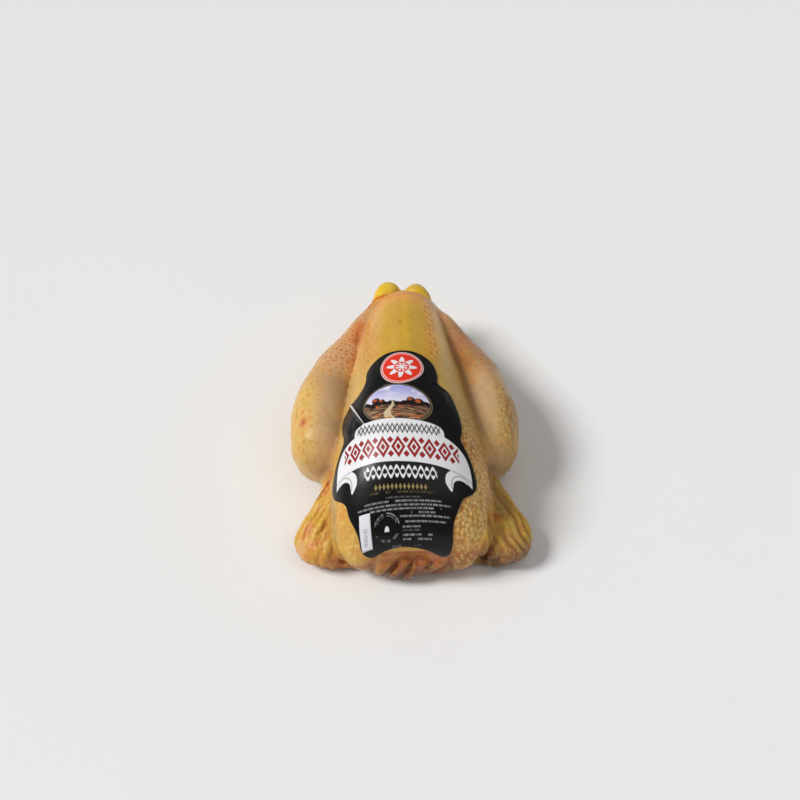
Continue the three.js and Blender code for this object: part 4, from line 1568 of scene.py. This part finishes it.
    def draw_dashes(self):
        """Rows of plain dashes: runs of fine upright strokes, with a gap after each run."""
        a = self.a
        for index, (middle, tall, start, end, name, dense) in enumerate(PRINT_ROWS):
            edge = (self.b - middle).absolute().below(tall * 0.4, 0.3)
            span = a.above(float(start)) * a.below(float(end))
            runs = random_at((a / 4.7 + index * 3.7).floor(), 5.0 + index).above(0.16, 0.01)
            gaps = (a / 4.7 + index * 3.7).fraction().above(0.14, 0.04)
            strokes = random_at((a / 0.55).floor(), 31.0 + index).rising(0.05, 0.9)
            self.lay(name, edge * span * runs * gaps * (strokes * 0.6 + dense * 0.6))

    def draw_ring(self):
        """A plain ring of broken arcs round a pale half disc."""
        ring_a = (self.a - RING[0]) / RING[2]
        ring_b = (self.b - RING[1]) / RING[3]
        ring = length2(ring_a, ring_b)
        angle = add_node(self.tree, "ShaderNodeMath", {0: ring_b, 1: ring_a}, operation="ARCTAN2")
        angle = Field(self.tree, angle.outputs[0])
        broken = random_at((angle * 7.0).floor(), 77.0).rising(0.1, 0.5)
        upper = ring_b * -1
        self.lay("silver", (ring - 0.98).absolute().below(0.035, 0.02) * broken * upper.above(0.25, 0.05))
        self.lay("grey", (ring - 0.82).absolute().below(0.045, 0.02) * broken * upper.above(0.3, 0.05))
        self.lay("grey", (ring - 0.9).absolute().below(0.09, 0.03) * broken * ring_b.above(0.42, 0.05))
        drop = length2(ring_a * 2.0, ring_b - 0.22)
        self.lay("white", drop.below(0.36, 0.03) * ring_b.below(0.24, 0.02))

    def draw_crease(self):
        """A painted highlight along the crease, and beside it a faint grey painted reflection on the loose
        flap.
        """
        u, v = self.u, self.v
        slope = (CREASE_TO[0] - CREASE_FROM[0]) / (CREASE_TO[1] - CREASE_FROM[1])
        from_crease = u - (v - CREASE_FROM[1]) * slope - CREASE_FROM[0]
        thin = (v - CREASE_FROM[1]).rising(40.0, 2.0) * 0.7 + 0.25
        along_crease = v.above(CREASE_FROM[1] + 1.0, 1.5) * v.below(CREASE_TO[1] - 1.0, 2.0)
        # Painted highlight along the crease
        self.lay("white", from_crease.absolute().below(thin, 0.3) * along_crease * 0.9)
        loose = from_crease.below(-1.0, 2.0) * v.above(48.0, 5.0) * v.below(84.0, 5.0)
        # Painted reflection: faint grey on the loose flap
        self.lay("grey", loose * self.waves(0.22, 0.12, 13.0).rising(0.4, 0.7) * 0.3)


def label_material(settings):
    """Glossy black film with a generic print, faint smudges and a thin clear coat."""
    material, tree, shader = new_material("label_film")
    printed = LabelPrint(tree, np.array(settings.film_colour))
    smudge = mottled(tree, 40.0, 420.0, 0.3)
    set_inputs(tree, shader, {
        "Base Color": mixed(tree, smudge.rising(0.5, 0.8) * 0.03, printed.colour, printed.hue["silver"]),
        "Roughness": smudge * 0.2 + 0.22,
        "IOR": 1.34,
        "Coat Weight": 0.06,
        "Coat Roughness": 0.1,
        "Normal": bumped(tree, smudge, 0.35, 0.0006),
    })
    return material


def sticker_material(settings):
    """White paper with a column of grey dashes across it and a faint fibre grain."""
    material, tree, shader = new_material("date_sticker")
    u, v, _ = attribute_fields(tree, "print")
    step = (v - 160.0) / 2.1
    chance = add_node(tree, "ShaderNodeTexWhiteNoise", {"W": step.floor()}, noise_dimensions="1D")
    wide = Field(tree, chance.outputs["Value"]) * 0.9 + 1.0
    bars = (u + 38.2).absolute().below(wide, 0.2) * (step.fraction() - 0.5).absolute().below(0.3, 0.08)
    bars = bars * v.above(165.0) * v.below(180.0)
    fibre = mottled(tree, 90.0, 2200.0, 0.6)
    paper = mixed(tree, fibre.rising(0.35, 0.7), ink(*PAPER_SHADE), settings.paper_colour)
    set_inputs(tree, shader, {
        "Base Color": mixed(tree, bars * 0.75, paper, ink(*PAPER_PRINT)),
        "Roughness": fibre * 0.2 + 0.5,
        "Normal": bumped(tree, fibre, 0.25, 0.0002),
    })
    return material


def floor_material(settings):
    """Pale matt board with very faint clouds."""
    material, tree, shader = new_material("pale_floor")
    cloud = mottled(tree, 3.0, 60.0, 0.2)
    set_inputs(tree, shader, {
        "Base Color": mixed(tree, cloud, FLOOR_SHADE, settings.floor_colour),
        "Roughness": cloud * 0.1 + 0.55,
    })
    return material


class RawChickenSettings(bpy.types.PropertyGroup):
    """Sizes, strengths and colours that a user would change."""

    voxel: bpy.props.FloatProperty(
        name="Skin detail", description="Edge length of the skin's faces", default=0.00152, unit="LENGTH"
    )
    goosebumps: bpy.props.FloatProperty(
        name="Goosebumps", description="Height of the goosebumps", default=0.0005, unit="LENGTH"
    )
    film: bpy.props.FloatProperty(
        name="Film thickness", description="Thickness of the label's film", default=0.0002, unit="LENGTH"
    )
    paper: bpy.props.FloatProperty(
        name="Paper thickness", description="Thickness of the date sticker", default=0.00018, unit="LENGTH"
    )
    lumps: bpy.props.FloatProperty(
        name="Lumps", description="Strength of the soft lumps under the skin", default=1.0, subtype="FACTOR"
    )
    translucency: bpy.props.FloatProperty(
        name="Translucency", description="Share of light that passes under the skin",
        default=0.2, subtype="FACTOR",
    )
    key: bpy.props.FloatProperty(
        name="Main light", description="Strength of the main light", default=2.4, subtype="FACTOR"
    )
    fill: bpy.props.FloatProperty(
        name="Soft light", description="Strength of the wide light overhead", default=0.44, subtype="FACTOR"
    )
    room: bpy.props.FloatProperty(
        name="Room light", description="Strength of the light from all round", default=0.2, subtype="FACTOR"
    )
    backdrop: bpy.props.FloatProperty(
        name="Backdrop", description="Brightness of the backdrop behind the bird",
        default=0.86, subtype="FACTOR",
    )
    skin_colour: bpy.props.FloatVectorProperty(
        name="Skin", description="Base colour of the skin", subtype="COLOR", size=3,
        default=tuple(ink(*HUES["gold"])), min=0, max=1
    )
    film_colour: bpy.props.FloatVectorProperty(
        name="Film", description="Colour of the label's film", subtype="COLOR", size=3,
        default=tuple(ink(9, 9, 9)), min=0, max=1
    )
    paper_colour: bpy.props.FloatVectorProperty(
        name="Paper", description="Colour of the date sticker", subtype="COLOR", size=3,
        default=tuple(ink(240, 240, 246)), min=0, max=1
    )
    floor_colour: bpy.props.FloatVectorProperty(
        name="Floor", description="Colour of the floor", subtype="COLOR", size=3,
        default=(0.95, 0.95, 0.95), min=0, max=1
    )


def finish_piece(piece, material, node):
    """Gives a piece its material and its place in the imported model."""
    piece.data.materials.append(material)
    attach(piece, "root")
    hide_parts(node)


class RAWCHICKEN_OT_skin(bpy.types.Operator):
    """Make the bird's skin"""

    bl_idname = "raw_chicken.skin"
    bl_label = "Bird"

    def execute(self, context):
        settings = context.scene.raw_chicken
        piece = Skin(settings).piece()
        finish_piece(piece, skin_material(settings), "chicken")
        return {"FINISHED"}


class RAWCHICKEN_OT_label(bpy.types.Operator):
    """Make the printed film label"""

    bl_idname = "raw_chicken.label"
    bl_label = "Film label"

    def execute(self, context):
        settings = context.scene.raw_chicken
        thick = settings.film / MM
        piece = thin_sheet("film_label", TrunkMap(), LABEL, 120, 170, LABEL_FOOT, film_height, thick)
        finish_piece(piece, label_material(settings), "label")
        return {"FINISHED"}


class RAWCHICKEN_OT_sticker(bpy.types.Operator):
    """Make the paper sticker on the label"""

    bl_idname = "raw_chicken.sticker"
    bl_label = "Date sticker"

    def execute(self, context):
        settings = context.scene.raw_chicken

        def under(reach, along):
            """The film's upper side and a small gap."""
            return film_height(reach, along) + settings.film / MM + PAPER_LIFT

        thick = settings.paper / MM
        piece = thin_sheet("paper_sticker", TrunkMap(), STICKER, 12, 24, None, under, thick)
        finish_piece(piece, sticker_material(settings), "date_sticker")
        return {"FINISHED"}


def add_light(name, strength, direction, spread_angle, colour):
    """A soft light from a direction: a sun as wide as a large lamp, so the floor is lit evenly."""
    lamp = bpy.data.lights.new(name, "SUN")
    lamp.angle = math.radians(spread_angle)
    lamp.energy = strength
    lamp.color = colour
    light = bpy.data.objects.new(name, lamp)
    x, y, z = direction
    light.location = direction
    light.rotation_euler = (math.atan2(math.hypot(x, y), z), 0, math.atan2(-y, -x) - math.pi / 2)
    bpy.context.scene.collection.objects.link(light)


FLOOR_HALF = 9000.0
FLOOR_DROP = 0.25
# Lights: the direction that each comes from, how many degrees wide it is, and its colour
MAIN_LIGHT = ((-1.0, -0.1, 1.03), 21, (1, 0.985, 0.96))
SOFT_LIGHT = ((0.45, -0.36, 1.2), 55, (1, 1, 1))
CAMERA_PITCH = math.radians(47)
CAMERA_TURN = math.radians(-1.3)
CAMERA_LENS = 43.22
CAMERA_SENSOR = 36
PICTURE_SIZE = 800
CAMERA_DISTANCE = 842.5
CAMERA_TARGET = np.array([0.0, 0.0, 60.0])
TARGET_PIXEL = (408.5, 430)


class RAWCHICKEN_OT_studio(bpy.types.Operator):
    """Make the floor, the lights and the camera"""

    bl_idname = "raw_chicken.studio"
    bl_label = "Studio"

    def execute(self, context):
        settings = context.scene.raw_chicken
        corners = np.array([[-1, -1, 0], [1, -1, 0], [1, 1, 0], [-1, 1, 0]]) * FLOOR_HALF
        corners = corners - [0, 0, FLOOR_DROP]
        floor = add_piece("floor", new_mesh("floor", corners, np.array([[0, 1, 2, 3]])))
        floor.data.materials.append(floor_material(settings))
        world = bpy.data.worlds.new("studio")
        world.use_nodes = True
        sky = next(node for node in world.node_tree.nodes if node.type == "BACKGROUND")
        sky.inputs["Color"].default_value = (1, 1, 1, 1)
        seen = add_node(world.node_tree, "ShaderNodeLightPath").outputs["Is Camera Ray"]
        strength = Field(world.node_tree, seen) * (settings.backdrop - settings.room) + settings.room
        put(world.node_tree, sky.inputs["Strength"], strength)
        context.scene.world = world
        context.scene.view_settings.view_transform = "Standard"
        add_light("main_light", settings.key, *MAIN_LIGHT)
        add_light("soft_light", settings.fill, *SOFT_LIGHT)
        focal = CAMERA_LENS / CAMERA_SENSOR * PICTURE_SIZE
        sine, cosine = math.sin(CAMERA_PITCH), math.cos(CAMERA_PITCH)
        forward = np.array([-math.sin(CAMERA_TURN) * cosine, math.cos(CAMERA_TURN) * cosine, -sine])
        right = np.array([math.cos(CAMERA_TURN), math.sin(CAMERA_TURN), 0.0])
        upward = np.cross(right, forward)
        aside = (TARGET_PIXEL[0] - PICTURE_SIZE / 2) / focal
        above = (PICTURE_SIZE / 2 - TARGET_PIXEL[1]) / focal
        place = CAMERA_TARGET - CAMERA_DISTANCE * (forward + aside * right + above * upward)
        eye = bpy.data.cameras.new("camera")
        eye.lens = CAMERA_LENS
        eye.sensor_width = CAMERA_SENSOR
        eye.clip_start = 0.01
        camera = bpy.data.objects.new("camera", eye)
        camera.location = (place - MIDDLE) * MM
        camera.rotation_euler = (math.pi / 2 - CAMERA_PITCH, 0, CAMERA_TURN)
        context.scene.collection.objects.link(camera)
        context.scene.camera = camera
        return {"FINISHED"}


class RAWCHICKEN_PT_panel(bpy.types.Panel):
    """The settings, and a button for each operator"""

    bl_label = "Raw chicken"
    bl_idname = "RAWCHICKEN_PT_panel"
    bl_space_type = "VIEW_3D"
    bl_region_type = "UI"
    bl_category = "Raw chicken"

    def draw(self, context):
        settings = context.scene.raw_chicken
        for name in settings.__annotations__:
            self.layout.prop(settings, name)
        for operator in OPERATORS:
            self.layout.operator(operator.bl_idname)


OPERATORS = (RAWCHICKEN_OT_skin, RAWCHICKEN_OT_label, RAWCHICKEN_OT_sticker, RAWCHICKEN_OT_studio)
CLASSES = (RawChickenSettings, *OPERATORS, RAWCHICKEN_PT_panel)


def register():
    """Registers the classes and gives the scene its settings."""
    for item in CLASSES:
        bpy.utils.register_class(item)
    bpy.types.Scene.raw_chicken = bpy.props.PointerProperty(type=RawChickenSettings)


def unregister():
    """Takes the settings and the classes away again."""
    del bpy.types.Scene.raw_chicken
    for item in reversed(CLASSES):
        bpy.utils.unregister_class(item)


def main():
    """Registers the classes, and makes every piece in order."""
    register()
    bpy.ops.raw_chicken.skin()
    bpy.ops.raw_chicken.label()
    bpy.ops.raw_chicken.sticker()
    bpy.ops.raw_chicken.studio()


if __name__ == "__main__":
    main()
